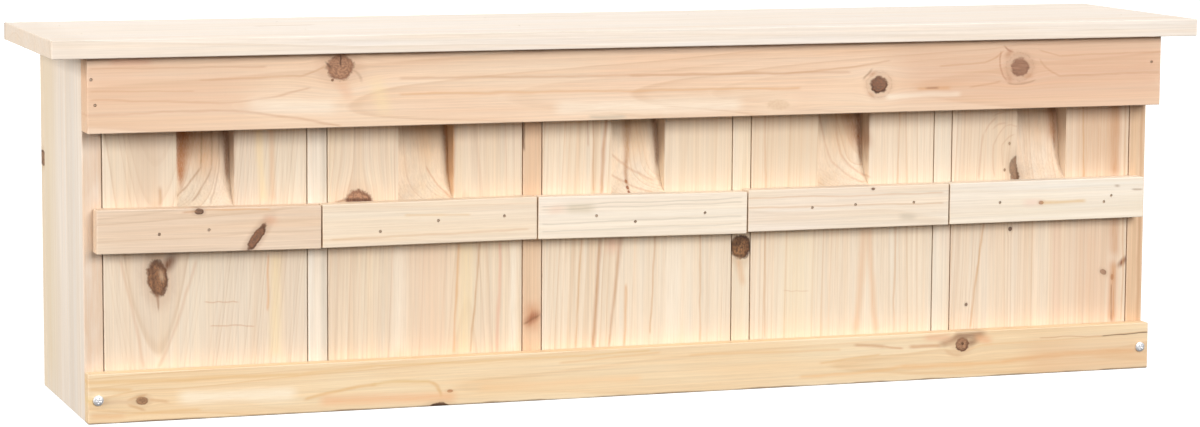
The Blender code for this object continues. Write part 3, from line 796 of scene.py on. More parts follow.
@dataclass(frozen=True)
class PlatedSteel:
    """The finish of a steel piece: its colour, its stains and how dull it is."""

    name: str
    colour: Colour
    stain: Colour
    roughness: float = 0.3
    stained: float = 0.3
    spangled: float = 0.1
    metal: float = 1.0
    relief: float = 0.15
    relief_depth: float = 0.05

    def material(self) -> bpy.types.Material:
        """Make the steel's material from Object coordinates in millimetres.

        Returns:
            A Principled material.
        """
        made, wires, shader = new_material(self.name)
        wear = wires.group(metal_wear(), Place=wires.millimetres()).outputs
        colour = wires.blend(wires.times(wear["Stain"], self.stained), linear(self.colour), linear(self.stain))
        colour = wires.blend(wires.times(wear["Spangle"], self.spangled), colour, WHITE)
        dull = wires.times_plus(wear["Stain"], self.stained * 0.5, self.roughness)
        dull = wires.times_plus(wear["Scratch"], 0.12, dull)
        wires.feeds(shader, Base_Color=colour, Metallic=self.metal, Roughness=dull)
        wires.bump(shader, wear["Scratch"], self.relief, self.relief_depth)
        return made


BRAD_STEEL = PlatedSteel("brad_steel", (186, 158, 130), (132, 104, 82), roughness=0.55, stained=0.7, metal=0.15)
SCREW_STEEL = PlatedSteel("screw_steel", (244, 244, 246), (206, 204, 200), roughness=0.34, metal=0.7)
HANGER_STEEL = PlatedSteel("hanger_steel", (214, 214, 210), (150, 148, 140), roughness=0.34, stained=0.5,
                           spangled=0.35)


def dress(node: str, material: bpy.types.Material) -> None:
    """Give a CAD node its material in every slot.

    Args:
        node: The CAD node's name.
        material: What it wears.
    """
    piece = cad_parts[node]
    piece.data.materials.clear()
    piece.data.materials.append(material)
    log.info("%s wears %s", node, material.name)


def dress_board(node: str, wood: SawnWood, lean: float = 0.0) -> None:
    """Give a CAD board a material made for its own frame."""
    dress(node, wood.material(BoardFrame.of(node, wood.run, lean)))


def dress_brads(name: str, count: int) -> None:
    """Give numbered brads their steel.

    Args:
        name: Their name without its number.
        count: How many there are.
    """
    steel = BRAD_STEEL.material()
    for number in range(1, count + 1):
        dress(f"{name}_{number}", steel)


def add_object(name: str, data: bpy.types.ID) -> bpy.types.Object:
    """Add an object to the scene.

    Args:
        name: The object's name.
        data: Its mesh, lamp or lens.

    Returns:
        The new object.
    """
    made = bpy.data.objects.new(name, data)
    bpy.context.scene.collection.objects.link(made)
    return made


def ring_faces(rings: int, sides: int) -> tuple[np.ndarray, np.ndarray, np.ndarray]:
    """Number the faces between rings of points, which are numbered ring by ring.

    Args:
        rings: How many rings there are.
        sides: How many points each ring has.

    Returns:
        Each point's number as rings x sides, that of the next point in its ring, and the faces' four corners.
    """
    index = np.arange(rings * sides).reshape(rings, sides)
    after = np.roll(index, -1, axis=1)
    return index, after, np.stack((index[:-1], index[1:], after[1:], after[:-1]), axis=-1).reshape(-1, 4)


def turned(middle: Pair, along: np.ndarray, out: np.ndarray, turns: np.ndarray) -> np.ndarray:
    """Return rings of points turned about a line along Y, from their Y, their radii and their turns."""
    x, z = middle
    return np.stack(np.broadcast_arrays(x + out * np.cos(turns), along, z + out * np.sin(turns)), axis=-1)


def closed_skin(name: str, rings: np.ndarray, reverse: bool, steel: bpy.types.Material) -> bpy.types.Object:
    """Make a closed piece from rings of points, whose first and last rings are single points.

    Each point is joined to the next one of its ring and to the same one of the next ring; the first
    and last rings are one vertex each, joined to their neighbours by fans.

    Args:
        name: The piece's name.
        rings: Points in metres, as rings x points of a ring x 3.
        reverse: Whether the faces are turned over, so that they point outwards.
        steel: Its material.

    Returns:
        The new object, at the origin, with its place in its mesh.
    """
    count, sides, _ = rings.shape
    body = rings[1:-1].reshape(-1, 3)
    index, after, quads = ring_faces(count - 2, sides)
    head = np.stack((np.full(sides, len(body)), index[0], after[0]), axis=-1)
    foot = np.stack((np.full(sides, len(body) + 1), after[-1], index[-1]), axis=-1)
    if reverse:
        quads, head, foot = quads[:, ::-1], head[:, ::-1], foot[:, ::-1]
    mesh = bpy.data.meshes.new(name)
    points = np.vstack((body, rings[:1, 0], rings[-1:, 0]))
    mesh.from_pydata(points.tolist(), [], quads.tolist() + head.tolist() + foot.tolist())
    mesh.polygons.foreach_set("use_smooth", np.ones(len(mesh.polygons), bool))
    mesh.set_sharp_from_angle(angle=math.radians(SHARP_DEG))
    mesh.materials.append(steel)
    return add_object(name, mesh)


class HeadShape(Enum):
    """The shape of a screw's head."""

    PAN = "pan"
    COUNTERSUNK = "countersunk"


@dataclass(frozen=True)
class WoodScrew:
    """A cross-recessed wood screw that stands in for a plain CAD screw.

    Its sizes are in metres. The recess is in shares of the head: its arms' half width, the slope of
    their sides, their reach and the slope of their ends by the head's radius, and its depth by the
    head's height. The thread's core is a share of the neck.
    """

    node: str
    name: str
    body: str
    slot: str
    shape: HeadShape
    into: float
    twist_deg: float = 20.0
    head: float = 0.0015
    neck: float = 0.0014
    pitch: float = 0.0012
    tip: float = 0.004
    core: float = 0.7
    arm: float = 0.17
    arm_slope: float = 0.06
    arm_reach: float = 0.60
    end_slope: float = 0.20
    recess: float = 0.62
    sides: int = 72
    head_rows: int = 30
    rows_per_turn: int = 7

    def build(self, steel: bpy.types.Material) -> None:
        """Make the screw where its CAD node stands, and put it in that node's place.

        Args:
            steel: Its material.
        """
        low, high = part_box(self.node)
        middle, radius, length = (low + high) / 2, (high.x - low.x) / 2, high.y - low.y
        start = low.y if self.into > 0 else high.y
        down, out = self._profile(radius, length)
        turns = np.linspace(0.0, math.tau, self.sides, endpoint=False)[None, :]
        down, out = self._threaded(down[:, None], out[:, None], turns, length)
        on_head = (np.arange(len(out)) <= self.head_rows)[:, None]
        down = down + self._recess(out, turns, radius) * on_head
        rings = turned((middle.x, middle.z), start + self.into * down, out, turns)
        piece = closed_skin(self.name, rings, self.into < 0, steel)
        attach(piece, self.body)
        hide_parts(self.node)
        log.info("%s stands for %s", self.name, self.node)

    def _profile(self, radius: float, length: float) -> tuple[np.ndarray, np.ndarray]:
        """Work out the turned profile, from the head's top to the tip.

        A pan head falls with the radius to the power of 2.6 and has a round rim. A countersunk head
        is flat with a straight cone under it.

        Args:
            radius: The head's radius.
            length: The whole screw's length.

        Returns:
            The depths below the head's top, and the radii.
        """
        share = np.linspace(0.0, 1.0, self.head_rows + 1)
        if self.shape is HeadShape.PAN:
            crown_down = 0.48 * self.head * share ** 2.6
            round_down = self.head * np.array((0.62, 0.84, 0.95, 1.0, 1.0))
            round_out = radius * np.array((1.0, 1.0, 0.985, 0.95, 0.75))
        else:
            crown_down = 0.02 * self.head * share
            round_down = self.head * np.array((0.08, 0.35, 0.65, 1.0, 1.02))
            round_out = radius + (self.neck - radius) * np.array((0.0, 0.30, 0.62, 1.0, 1.0))
        rows = int((length - self.head) / self.pitch * self.rows_per_turn)
        shank_down = np.linspace(self.head * 1.04, length, rows)
        taper = np.clip((length - shank_down) / self.tip, 0.0, 1.0) ** 0.7
        down = np.concatenate((crown_down, round_down, shank_down))
        return down, np.concatenate((radius * share, round_out, self.neck * taper))

    def _threaded(
        self, down: np.ndarray, out: np.ndarray, turns: np.ndarray, length: float
    ) -> tuple[np.ndarray, np.ndarray]:
        """Cut the thread: the shank's radius swings by a ridge that climbs one pitch in each turn.

        The ridge is 1 - 4 |f - 1/2| where it is above 0, and f is the fraction of depth / pitch less
        the turn. Between ridges only the core is left.

        Args:
            down: Depths below the head's top.
            out: Radii of the profile.
            turns: The angles of a ring's points.
            length: The whole screw's length.

        Returns:
            The depths and the threaded radii, as rings x points of a ring.
        """
        ridge = np.clip(1.0 - 4.0 * np.abs(np.mod(down / self.pitch - turns / math.tau, 1.0) - 0.5), 0.0, 1.0)
        shank = np.clip((down - self.head * 1.3 - self.pitch) / self.pitch, 0.0, 1.0)
        shank = shank * (down < length - self.pitch / 2)
        return np.broadcast_to(down, ridge.shape), out * (1.0 - (1.0 - self.core) * shank * (1.0 - ridge))

    def _recess(self, out: np.ndarray, turns: np.ndarray, radius: float) -> np.ndarray:
        """Sink a cross into the head: deep where the nearer of its two axes is close, out to its arms' ends.

        Args:
            out: Radii of the rings.
            turns: The angles of a ring's points.
            radius: The head's radius.

        Returns:
            How much deeper each point lies.
        """
        angle = turns + math.radians(self.twist_deg)
        along, aside = np.abs(out * np.cos(angle)), np.abs(out * np.sin(angle))
        arm = np.clip((self.arm * radius - np.minimum(along, aside)) / (self.arm_slope * radius), 0.0, 1.0)
        reach = np.clip((self.arm_reach * radius - np.maximum(along, aside)) / (self.end_slope * radius), 0.0, 1.0)
        return self.recess * self.head * arm * reach


@dataclass(frozen=True)
class PanelBrad:
    """A small domed brad head on the back panel. Its sizes are in metres, and its foot is a share of its radius."""

    radius: float = 0.0011
    rise: float = 0.00025
    sunk: float = 0.0003
    foot: float = 0.9
    sides: int = 24
    rows: int = 5

    def build(self, name: str, place: Triple, steel: bpy.types.Material) -> None:
        """Make the head: a quarter ellipse turned about Y, closed by a flat foot in the board.

        Args:
            name: The piece's name.
            place: Where the brad meets the back panel's outer face.
            steel: Its material.
        """
        arc = np.linspace(0.0, math.pi / 2, self.rows)
        out = np.concatenate((np.sin(arc), (self.foot, 0.0))) * self.radius
        up = np.concatenate((np.cos(arc) * self.rise, (-self.sunk, -self.sunk)))
        turns = np.linspace(0.0, math.tau, self.sides, endpoint=False)[None, :]
        x, y, z = place
        piece = closed_skin(name, turned((x, z), y + up[:, None], out[:, None], turns), True, steel)
        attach(piece, HOUSING)
        log.info("%s is in the back panel", name)


@dataclass
class Roof:
    """The pale roof board and the brads that hold it."""

    board: str = "roof_board"
    brads: int = 12
    wood: SawnWood = SawnWood(
        "roof_wood", GrainRun.LYING_FLAT, early=(244, 228, 210), late=(226, 203, 176), cloud=(245, 231, 216),
        figure=Figure(pith=(35.0, -60.0), spacing=3.4, taper=0.012, contrast=0.36), seed=1.0,
        roughness=0.60,
        streaks=bands(
            (-332, -74, -332, 74, 9, (226, 208, 188), 0.35), (-339.8, 71.5, -339.8, 76, 1.2, (140, 110, 86), 0.7),
            (-210, 6, -176, 9, 1.2, (206, 178, 146), 0.7), (-36, 40, 4, 42, 1.2, (214, 190, 160), 0.5),
            (268, 52, 300, 50, 1.4, (214, 190, 160), 0.5), (-340, -60, 340, -56, 1.6, (236, 210, 180), 0.4),
        ),
    )

    def build(self) -> None:
        """Dress the board and its brads."""
        dress_board(self.board, self.wood)
        dress_brads("roof_brad", self.brads)


@dataclass
class Fascia:
    """The warm board across the front, under the roof."""

    board: str = "fascia_board"
    brads: int = 3
    wood: SawnWood = SawnWood(
        "fascia_wood", GrainRun.LYING_ON_EDGE, early=(243, 212, 181), late=(216, 172, 132), cloud=(243, 206, 174),
        figure=Figure(pith=(7.0, 26.0), spacing=2.8, taper=-0.030, contrast=0.30), seed=2.0,
        knots=(
            Knot((-180.6, 192.2), 6.9, 1.07, core=(196, 146, 112), rim=(124, 80, 56), halo=0.5, edge=0.6),
            Knot((-184.9, 185.2), 0.8, 1, core=BROWN, rim=DARK, push=0),
            Knot((139.3, 175), 4.7, 1.08, core=(132, 74, 40), rim=(64, 34, 20), halo=0.5, edge=0.9, collar=0.2),
            Knot((228.4, 183.4), 5.1, 1.08, core=(104, 54, 26), rim=(58, 30, 18), halo=0.6, edge=0.9, collar=0.2),
            Knot((76.9, 165), 3.2, 2.2, core=(249, 228, 202), rim=(238, 208, 178), halo=0.3, edge=0.15, depth=0.6),
        ),
        streaks=bands(
            # The two bands on this line darken the fascia's top edge under the roof's overhang: painted shade of the
            # gap there.
            (-336, 199.4, -180, 199.1, 0.8, BROWN, 0.5), (-180, 199.1, 336, 199.6, 0.7, BROWN, 0.5),
            (-307, 197.4, -285.7, 197.2, 1.6, (232, 176, 146), 0.5), (-318, 177.5, -247.6, 174.2, 0.5, RUST, 0.42),
            (-247.6, 174.2, -197.5, 181.1, 0.5, RUST, 0.42, -1.5), (-321, 169, -252, 170.4, 0.6, RUST, 0.36),
            (-252, 170.4, -180.7, 159.9, 0.6, RUST, 0.42, 1.4), (-258.5, 186.9, -203.1, 187.8, 0.5, RUST, 0.4),
            (-203.1, 187.8, -189, 193.2, 0.5, RUST, 0.45, -0.8), (-318, 194.1, -222, 193.4, 0.4, RUST, 0.4),
            (-318, 182, -262, 180.9, 0.4, RUST, 0.4), (-232, 173, -184, 170.5, 3.4, CREAM, 0.4),
            (-180.3, 199, -180.4, 193, 0.35, (70, 46, 34), 0.85), (-188.7, 194.8, -185.2, 191.8, 0.45, DARK, 0.7),
            (-180.7, 184, -175, 175, 2.6, (230, 176, 140), 0.4), (-174, 191, -168.5, 184.1, 0.7, BROWN, 0.28, 0.8),
            (-160.9, 184.7, -155.2, 166.9, 3.6, YELLOW, 0.4), (-146.6, 185.4, 121.1, 182.9, 0.6, RUST, 0.4),
            (-146.7, 176.6, 90.3, 174.4, 0.7, ORANGE, 0.5), (-12.7, 183.6, 80, 182.9, 0.5, RUST, 0.35),
            (80, 182.9, 145.9, 188.7, 0.5, RUST, 0.4, -0.8), (-56, 166.6, 53.7, 166.1, 3.2, CREAM, 0.45),
            (-36.3, 160.8, -15.5, 160.2, 1.2, GREY, 0.6), (129.8, 178.6, 134.8, 184, 0.6, BROWN, 0.5),
            (144, 168.2, 190.4, 169.1, 1.2, (255, 240, 218), 0.7), (163.8, 172.1, 184, 172.2, 0.9, ORANGE, 0.6),
            (168.8, 172.4, 176.4, 172.2, 0.6, BROWN, 0.75), (216, 192.5, 219.6, 176, 0.5, (176, 110, 80), 0.55, -2),
            (220.9, 174.4, 238.2, 175.6, 0.45, BROWN, 0.5, -1.4),
            (218.5, 195.9, 223.7, 192.3, 0.5, (160, 100, 72), 0.6, -0.6),
            (177.4, 185.1, 205.9, 186.4, 0.45, RUST, 0.45), (205.9, 186.4, 217.3, 192.8, 0.45, RUST, 0.5, -1),
            (196.7, 172.5, 215.7, 175.5, 0.5, RUST, 0.45), (241.2, 187.3, 254.3, 177.6, 0.5, RUST, 0.5, -1.2),
            (254.3, 177.6, 319, 178.5, 0.5, RUST, 0.45), (241, 193.1, 254, 189.9, 0.4, RUST, 0.4),
            (254, 189.9, 321, 190.4, 0.45, RUST, 0.4), (150, 181, 326, 181, 15, (212, 158, 126), 0.42),
            (-326, 180, -230, 180, 14, (224, 178, 146), 0.4), (219.5, 189.5, 222.5, 193, 1.5, (190, 132, 98), 0.55),
            (220, 178, 223, 175.5, 1.3, (190, 132, 98), 0.5), (231.5, 177.5, 236, 178.5, 1.2, (200, 146, 110), 0.5),
            (133.5, 180.5, 137, 182.3, 1, (196, 140, 104), 0.5), (133, 170.5, 136, 168.6, 1, (200, 146, 110), 0.45),
        ),
    )

    def build(self) -> None:
        """Dress the board and its brads."""
        dress_board(self.board, self.wood)
        dress_brads("fascia_brad", self.brads)


def upright_wood(name: str, early: Colour, late: Colour, seed: float, **more: object) -> SawnWood:
    """Return the finish of an upright board that shows its edge to the front."""
    figure = Figure(pith=(14.0, 50.0), spacing=2.3, contrast=0.5)
    return SawnWood(name, GrainRun.UPRIGHT, early=early, late=late, figure=figure, seed=seed, **more)


@dataclass
class Carcass:
    """The side panels, dividers, back panel and floor board, and the brads through the back."""

    dividers: tuple[SawnWood, ...] = (
        upright_wood("divider_1_wood", (245, 229, 208), (226, 204, 176), 11.0, cloud=(240, 226, 206),
                     streaks=bands((-185.6, 170, -185.6, 12, 1.5, GREY, 0.55))),
        upright_wood("divider_2_wood", (236, 204, 170), (206, 162, 124), 12.0, cloud=(230, 192, 156),
                     streaks=bands(
                         (-69.6, 157, -69.5, 141.7, 0.5, (96, 62, 42), 0.75),
                         (-64.4, 40, -64.4, 53.5, 3.4, (204, 138, 96), 0.65),
                         (-67.4, 43, -61, 48.4, 2, (156, 88, 56), 0.75), (-68.7, 42.7, -60.3, 47.4, 0.5, BROWN, 0.7),
                     )),
        upright_wood("divider_3_wood", (246, 226, 198), (230, 200, 160), 13.0,
                     knots=(
                         Knot((61.4, 81.7), 6.3, 1.08, core=(178, 130, 86), rim=(64, 40, 26), halo=0.5,
                              edge=0.9, push=0.4, depth=0.95),
                     ),
                     streaks=bands(
                         (57, 82, 62.5, 87, 1.9, (58, 38, 26), 0.6), (60, 75, 63, 60, 1.5, ORANGE, 0.4),
                         (64.6, 87, 65.2, 77, 1.2, (98, 62, 40), 0.55),
                     )),
        upright_wood("divider_4_wood", (244, 222, 198), (226, 190, 162), 14.0),
    )
    left_side: SawnWood = SawnWood(
        "side_left_wood", GrainRun.UPRIGHT_EDGE_ON, early=(243, 228, 211), late=(228, 206, 180),
        cloud=(238, 222, 203), figure=Figure(pith=(20.0, 40.0), spacing=3.2, contrast=0.42), seed=15.0,
        streaks=bands(
            (52, 0, 52, 200, 20, (230, 208, 172), 0.6), (-22, 0, -22, 200, 9, (226, 214, 200), 0.45),
            (-51.4, 0, -51.4, 200, 0.9, (216, 178, 142), 0.6),
        ),
    )
    right_side: SawnWood = upright_wood(
        "side_right_wood", (234, 200, 164), (204, 158, 118), 16.0, cloud=(226, 188, 150),
        streaks=bands((317.5, 200, 317.5, 0, 1, (202, 156, 118), 0.55)))
    back: SawnWood = SawnWood(
        "back_wood", GrainRun.UPRIGHT, early=(240, 220, 192), late=(214, 180, 144),
        figure=Figure(pith=(-60.0, 55.0), spacing=3.2, taper=0.01, contrast=0.5), seed=17.0,
        knots=(
            Knot((-320, 132.7), 3.4, 1.2, core=(178, 138, 106), rim=(84, 54, 36), halo=0.5, edge=1),
            Knot((-212, 64), 6, 1.3, edge=0.6, collar=0.4), Knot((38, 128), 4.4, 1.2, core=(150, 104, 76), edge=0.6),
            Knot((152, 52), 7, 1.4, 12, edge=0.7, collar=0.5), Knot((246, 150), 2.4, 1.3, core=BROWN, edge=0.6),
        ),
    )
    floor: SawnWood = SawnWood(
        "floor_wood", GrainRun.LYING_FLAT, early=(240, 218, 190), late=(212, 176, 138),
        figure=Figure(pith=(10.0, 40.0), spacing=2.8, contrast=0.5), seed=18.0,
    )
    back_brad: PanelBrad = PanelBrad()
    side_brads: tuple[float, ...] = (0.022, 0.072, 0.122, 0.172)
    divider_brads: tuple[float, ...] = (0.040, 0.105, 0.170)

    def build(self) -> None:
        """Dress each board of the carcass."""
        dress_board("side_panel_left", self.left_side)
        dress_board("side_panel_right", self.right_side)
        for index, wood in enumerate(self.dividers):
            dress_board(f"divider_{index + 1}", wood)
        dress_board("back_panel", self.back)
        dress_board("floor_board", self.floor)
        self._nail_back()

    def _nail_back(self) -> None:
        """Drive brads through the back panel into the middle of each upright board."""
        steel = BRAD_STEEL.material()
        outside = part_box("back_panel")[1].y
        rows = [(f"side_panel_{side}", self.side_brads) for side in ("left", "right")]
        rows += [(f"divider_{index + 1}", self.divider_brads) for index in range(len(self.dividers))]
        places = [(upright, height) for upright, heights in rows for height in heights]
        for number, (upright, height) in enumerate(places, start=1):
            low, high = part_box(upright)
            self.back_brad.build(f"back_brad_{number}", ((low.x + high.x) / 2, outside, height), steel)


@dataclass
class Door:
    """One front panel with its entrance groove, its perch bar and the bar's brads."""

    number: int
    panel: SawnWood
    bar: SawnWood
    brads: int
    bar_lean_deg: float = 0.0

    def build(self) -> None:
        """Dress the panel, the bar and its brads."""
        dress_board(f"door_panel_{self.number}", self.panel)
        dress_board(f"perch_bar_{self.number}", self.bar, math.radians(self.bar_lean_deg))
        dress_brads(f"perch_brad_{self.number}", self.brads)


def panel_wood(number: int, early: Colour, late: Colour, figure: Figure, **more: object) -> SawnWood:
    """Return the finish of one door panel."""
    return SawnWood(f"door_{number}_wood", GrainRun.UPRIGHT, early, late, figure, seed=20.0 + number, **more)


def bar_wood(number: int, early: Colour, late: Colour, figure: Figure, **more: object) -> SawnWood:
    """Return the finish of one perch bar."""
    return SawnWood(f"perch_{number}_wood", GrainRun.LYING_ON_EDGE, early, late, figure, seed=30.0 + number, **more)


def first_door() -> Door:
    """Describe the first door from the left.

    Returns:
        The door, with a drop-shaped knot and rings that narrow downwards.
    """
    return Door(1, panel_wood(
        1, (238, 219, 193), (210, 178, 144), Figure((-27.0, 22.5), 2.4, -0.095, 0.0, 0.6, 0.42),
        cloud=(234, 212, 187),
        knots=(
            Knot((-279.4, 77.2), 5.7, 1.7, 6, core=(168, 119, 80), rim=(88, 56, 38), halo=0.6, edge=0.8, push=0.5,
                 depth=0.92),
        ),
        streaks=bands(
            (-277.6, 82, -276.6, 76, 1, (222, 186, 150), 0.5), (-282.2, 84, -281, 68, 0.8, (104, 70, 50), 0.6),
            (-279.6, 68.5, -279, 60, 0.9, BROWN, 0.6, 0, 0.4), (-275.4, 81.5, -270, 89.6, 2.6, (118, 74, 46), 0.85),
            (-299.8, 88, -287.2, 28.2, 0.8, RUST, 0.3, 0.8), (-257.8, 86, -279.4, 27.8, 0.8, RUST, 0.3, 1.5),
            (-217.4, 88, -217.6, 57.2, 0.6, ORANGE, 0.6), (-212.9, 88, -213.7, 32, 2.4, YELLOW, 0.5),
            (-252.9, 63.2, -234.4, 62.4, 0.32, SAND, 0.5), (-249.7, 50, -225.5, 48.9, 0.32, SAND, 0.5),
            (-261.4, 163, -263.8, 128, 4.6, (172, 106, 54), 0.85, 0, 0.25),
            # This band warms the middle of the entrance groove: painted warm shade inside the groove.
            (-251, 163, -250, 134, 6, (226, 170, 112), 0.5),
            (-258.5, 163, -262.5, 130, 6, (190, 128, 76), 0.45, 0, 0.3),
            (-287, 166, -287, 117, 9, (206, 172, 140), 0.4),
            # This band darkens the groove's right wall, narrowing downwards, and the first band of the next line
            # darkens the groove's top under the fascia: painted shade.
            (-238, 161, -237.4, 130, 2.5, (140, 86, 48), 0.62, 0, 0.3),
            (-252, 161, -250, 154, 9, (160, 108, 72), 0.35), (-250.5, 158, -252.6, 136.5, 0.5, FAWN, 0.5),
            (-252.6, 136.5, -267.5, 121.2, 0.5, FAWN, 0.5, 1.3), (-245.6, 158, -246.4, 136, 0.45, FAWN, 0.4),
            (-246.4, 136, -258.5, 118.5, 0.45, FAWN, 0.4, 1.2), (-241.2, 158, -242.4, 134, 0.45, FAWN, 0.35),
            (-242.4, 134, -249, 117, 0.45, FAWN, 0.35, 0.8), (-277.4, 127, -277.4, 117, 1, (194, 152, 114), 0.55),
            (-222.6, 159, -219.6, 118, 1.8, YELLOW, 0.5), (-215, 159, -214.4, 118, 1.3, ORANGE, 0.3),
        ),
    ), bar_wood(
        1, (238, 213, 184), (214, 180, 146), Figure((-16.0, 22.0), 2.6, 0.02, 0.0, 0.7, 0.42), cloud=(233, 204, 176),
        knots=(
            Knot((-258.1, 114.6), 1.5, 1.6, core=(140, 96, 68), rim=(74, 48, 34), halo=0.6, edge=0.9),
            Knot((-226.2, 99.2), 2.5, 3.4, 55, core=(142, 86, 46), rim=(80, 44, 22), halo=0.6, edge=0.8, push=0.3),
        ),
        streaks=bands(
            (-254.8, 115.4, -218.6, 114.6, 0.5, ORANGE, 0.6), (-267, 114.4, -260, 114.6, 0.6, RUST, 0.5),
            (-221.5, 109, -215, 108, 2, (228, 172, 138), 0.5),
        ),
    ), 2, 0.64)


def second_door() -> Door:
    """Describe the second door.

    Returns:
        The door, with a flat domed knot on the bar and tinted upright bands.
    """
    return Door(2, panel_wood(
        2, (241, 219, 189), (214, 178, 144), Figure((24.0, 23.0), 2.7, 0.03, 0.0, 0.6, 0.42), cloud=(236, 213, 186),
        knots=(Knot((-166, 115), 7.4, 0.95, core=(198, 148, 114), rim=(112, 70, 48), halo=0.4, edge=0.7, push=0.7),),
        streaks=bands(
            (-173.6, 116.8, -158.4, 116.6, 0.9, (96, 60, 42), 0.85), (-179, 115.8, -173.5, 116.4, 0.6, BROWN, 0.6),
            (-141.3, 93, -142.6, 31, 3.2, CREAM, 0.45), (-124, 93, -125.6, 28, 11, (240, 206, 174), 0.5),
            (-107.6, 90, -110.5, 28, 0.7, ORANGE, 0.6), (-102.9, 90, -104.1, 28, 3.6, YELLOW, 0.45),
            (-95.5, 90, -100.5, 28, 0.5, (204, 156, 112), 0.55), (-83.2, 90, -85.2, 28, 0.8, (228, 176, 146), 0.55),
            (-75.3, 90, -76.3, 28, 2, CREAM, 0.55), (-123.5, 133, -111.6, 115.6, 0.5, RUST, 0.5, -1),
            # This band darkens the groove's right wall, narrowing downwards; on the next line the first band darkens
            # the groove's top and the second warms its middle: painted shade.
            (-112, 161, -111.4, 128, 2.3, (136, 82, 42), 0.62, 0, 0.3),
            (-136, 160, -116, 157, 6, (170, 118, 74), 0.3), (-124.5, 161, -123, 136, 6, (232, 180, 124), 0.35),
            (-111.2, 158, -111, 118, 0.9, ORANGE, 0.6),
        ),
    ), bar_wood(
        2, (243, 222, 195), (226, 194, 160), Figure((20.0, 30.0), 3.0, 0.01, 0.0, 0.7, 0.36), cloud=(241, 216, 189),
        streaks=bands(
            (-141.9, 108.6, -104.3, 107.4, 0.5, (228, 192, 142), 0.55), (-184, 96.5, -70, 98, 0.5, TAN, 0.35),
        ),
    ), 3, -0.19)


def third_door() -> Door:
    """Describe the third door.

    Returns:
        The door, with brown streaks that lean a little and a dark wedge in its groove.
    """
    return Door(3, panel_wood(
        3, (244, 224, 198), (220, 182, 140), Figure((22.0, 30.0), 3.0, 0.0, 0.045, 0.6, 0.42), cloud=(242, 220, 192),
        knots=tuple(Knot((-6.5, height), 0.8, 1.3, core=(178, 112, 70), rim=(150, 90, 56), push=0)
                    for height in (121.2, 118, 115.5)),
        streaks=bands(
            (-20.6, 159, -23.8, 115.5, 0.9, (196, 142, 100), 0.6), (-28.3, 159, -28.1, 117, 0.4, RUST, 0.5),
            (40, 166, 40, 112, 15, (226, 196, 160), 0.3), (-31.6, 158, -31.5, 143, 0.4, RUST, 0.5),
            (-3, 162, -6.2, 120, 2.4, (176, 122, 82), 0.6, 0, 0.35),
            # Both bands on this line are painted shade: the groove's right wall, narrowing downwards, and its top
            # under the fascia; the first band of the next line warms the groove's middle as painted shade.
            (12.8, 162, 13.4, 130, 2.3, (144, 90, 52), 0.58, 0, 0.3), (-6, 161, 12, 161, 3, (180, 120, 70), 0.35),
            (1, 161, 2, 134, 6, (240, 190, 130), 0.35), (-13.5, 136.4, 10.6, 121, 0.6, RUST, 0.4, -1.3),
            (-14.6, 125, 9, 114.8, 0.6, RUST, 0.4, -1), (-24, 90, -28, 27.6, 1.1, (194, 142, 100), 0.65),
            (-11.3, 91, -18.4, 27.6, 1.3, (196, 146, 106), 0.55, 0, 0.5), (-8.2, 62.5, -9.2, 27.6, 0.7, ORANGE, 0.6),
            (-35.4, 90, -38.2, 27.6, 0.5, TAN, 0.6), (9.2, 90, 6.5, 34, 0.5, TAN, 0.6),
            (36.6, 90, 37.1, 28, 0.5, TAN, 0.5), (21.3, 90, 20, 28, 6, CREAM, 0.4),
            (-16.8, 91, -16.8, 82, 3.4, (228, 178, 152), 0.5),
        ),
    ), bar_wood(
        3, (248, 232, 210), (230, 208, 178), Figure((-14.0, 24.0), 2.6, 0.0, 0.0, 0.6, 0.42), cloud=(248, 231, 211),
        streaks=bands(
            (-62, 110.8, 58, 111.4, 0.35, GREY, 0.5), (-62, 108.6, 58, 109.1, 0.35, GREY, 0.5),
            (-62, 100.7, 58, 101.1, 0.35, GREY, 0.45), (-62, 96.2, 58, 96.8, 0.35, GREY, 0.4),
            (-47.5, 109.3, -32, 108.7, 2.4, (204, 188, 160), 0.55),
            (-58, 108.5, -49, 109.2, 2.2, (236, 200, 176), 0.45),
        ),
    ), 3, 0.6)


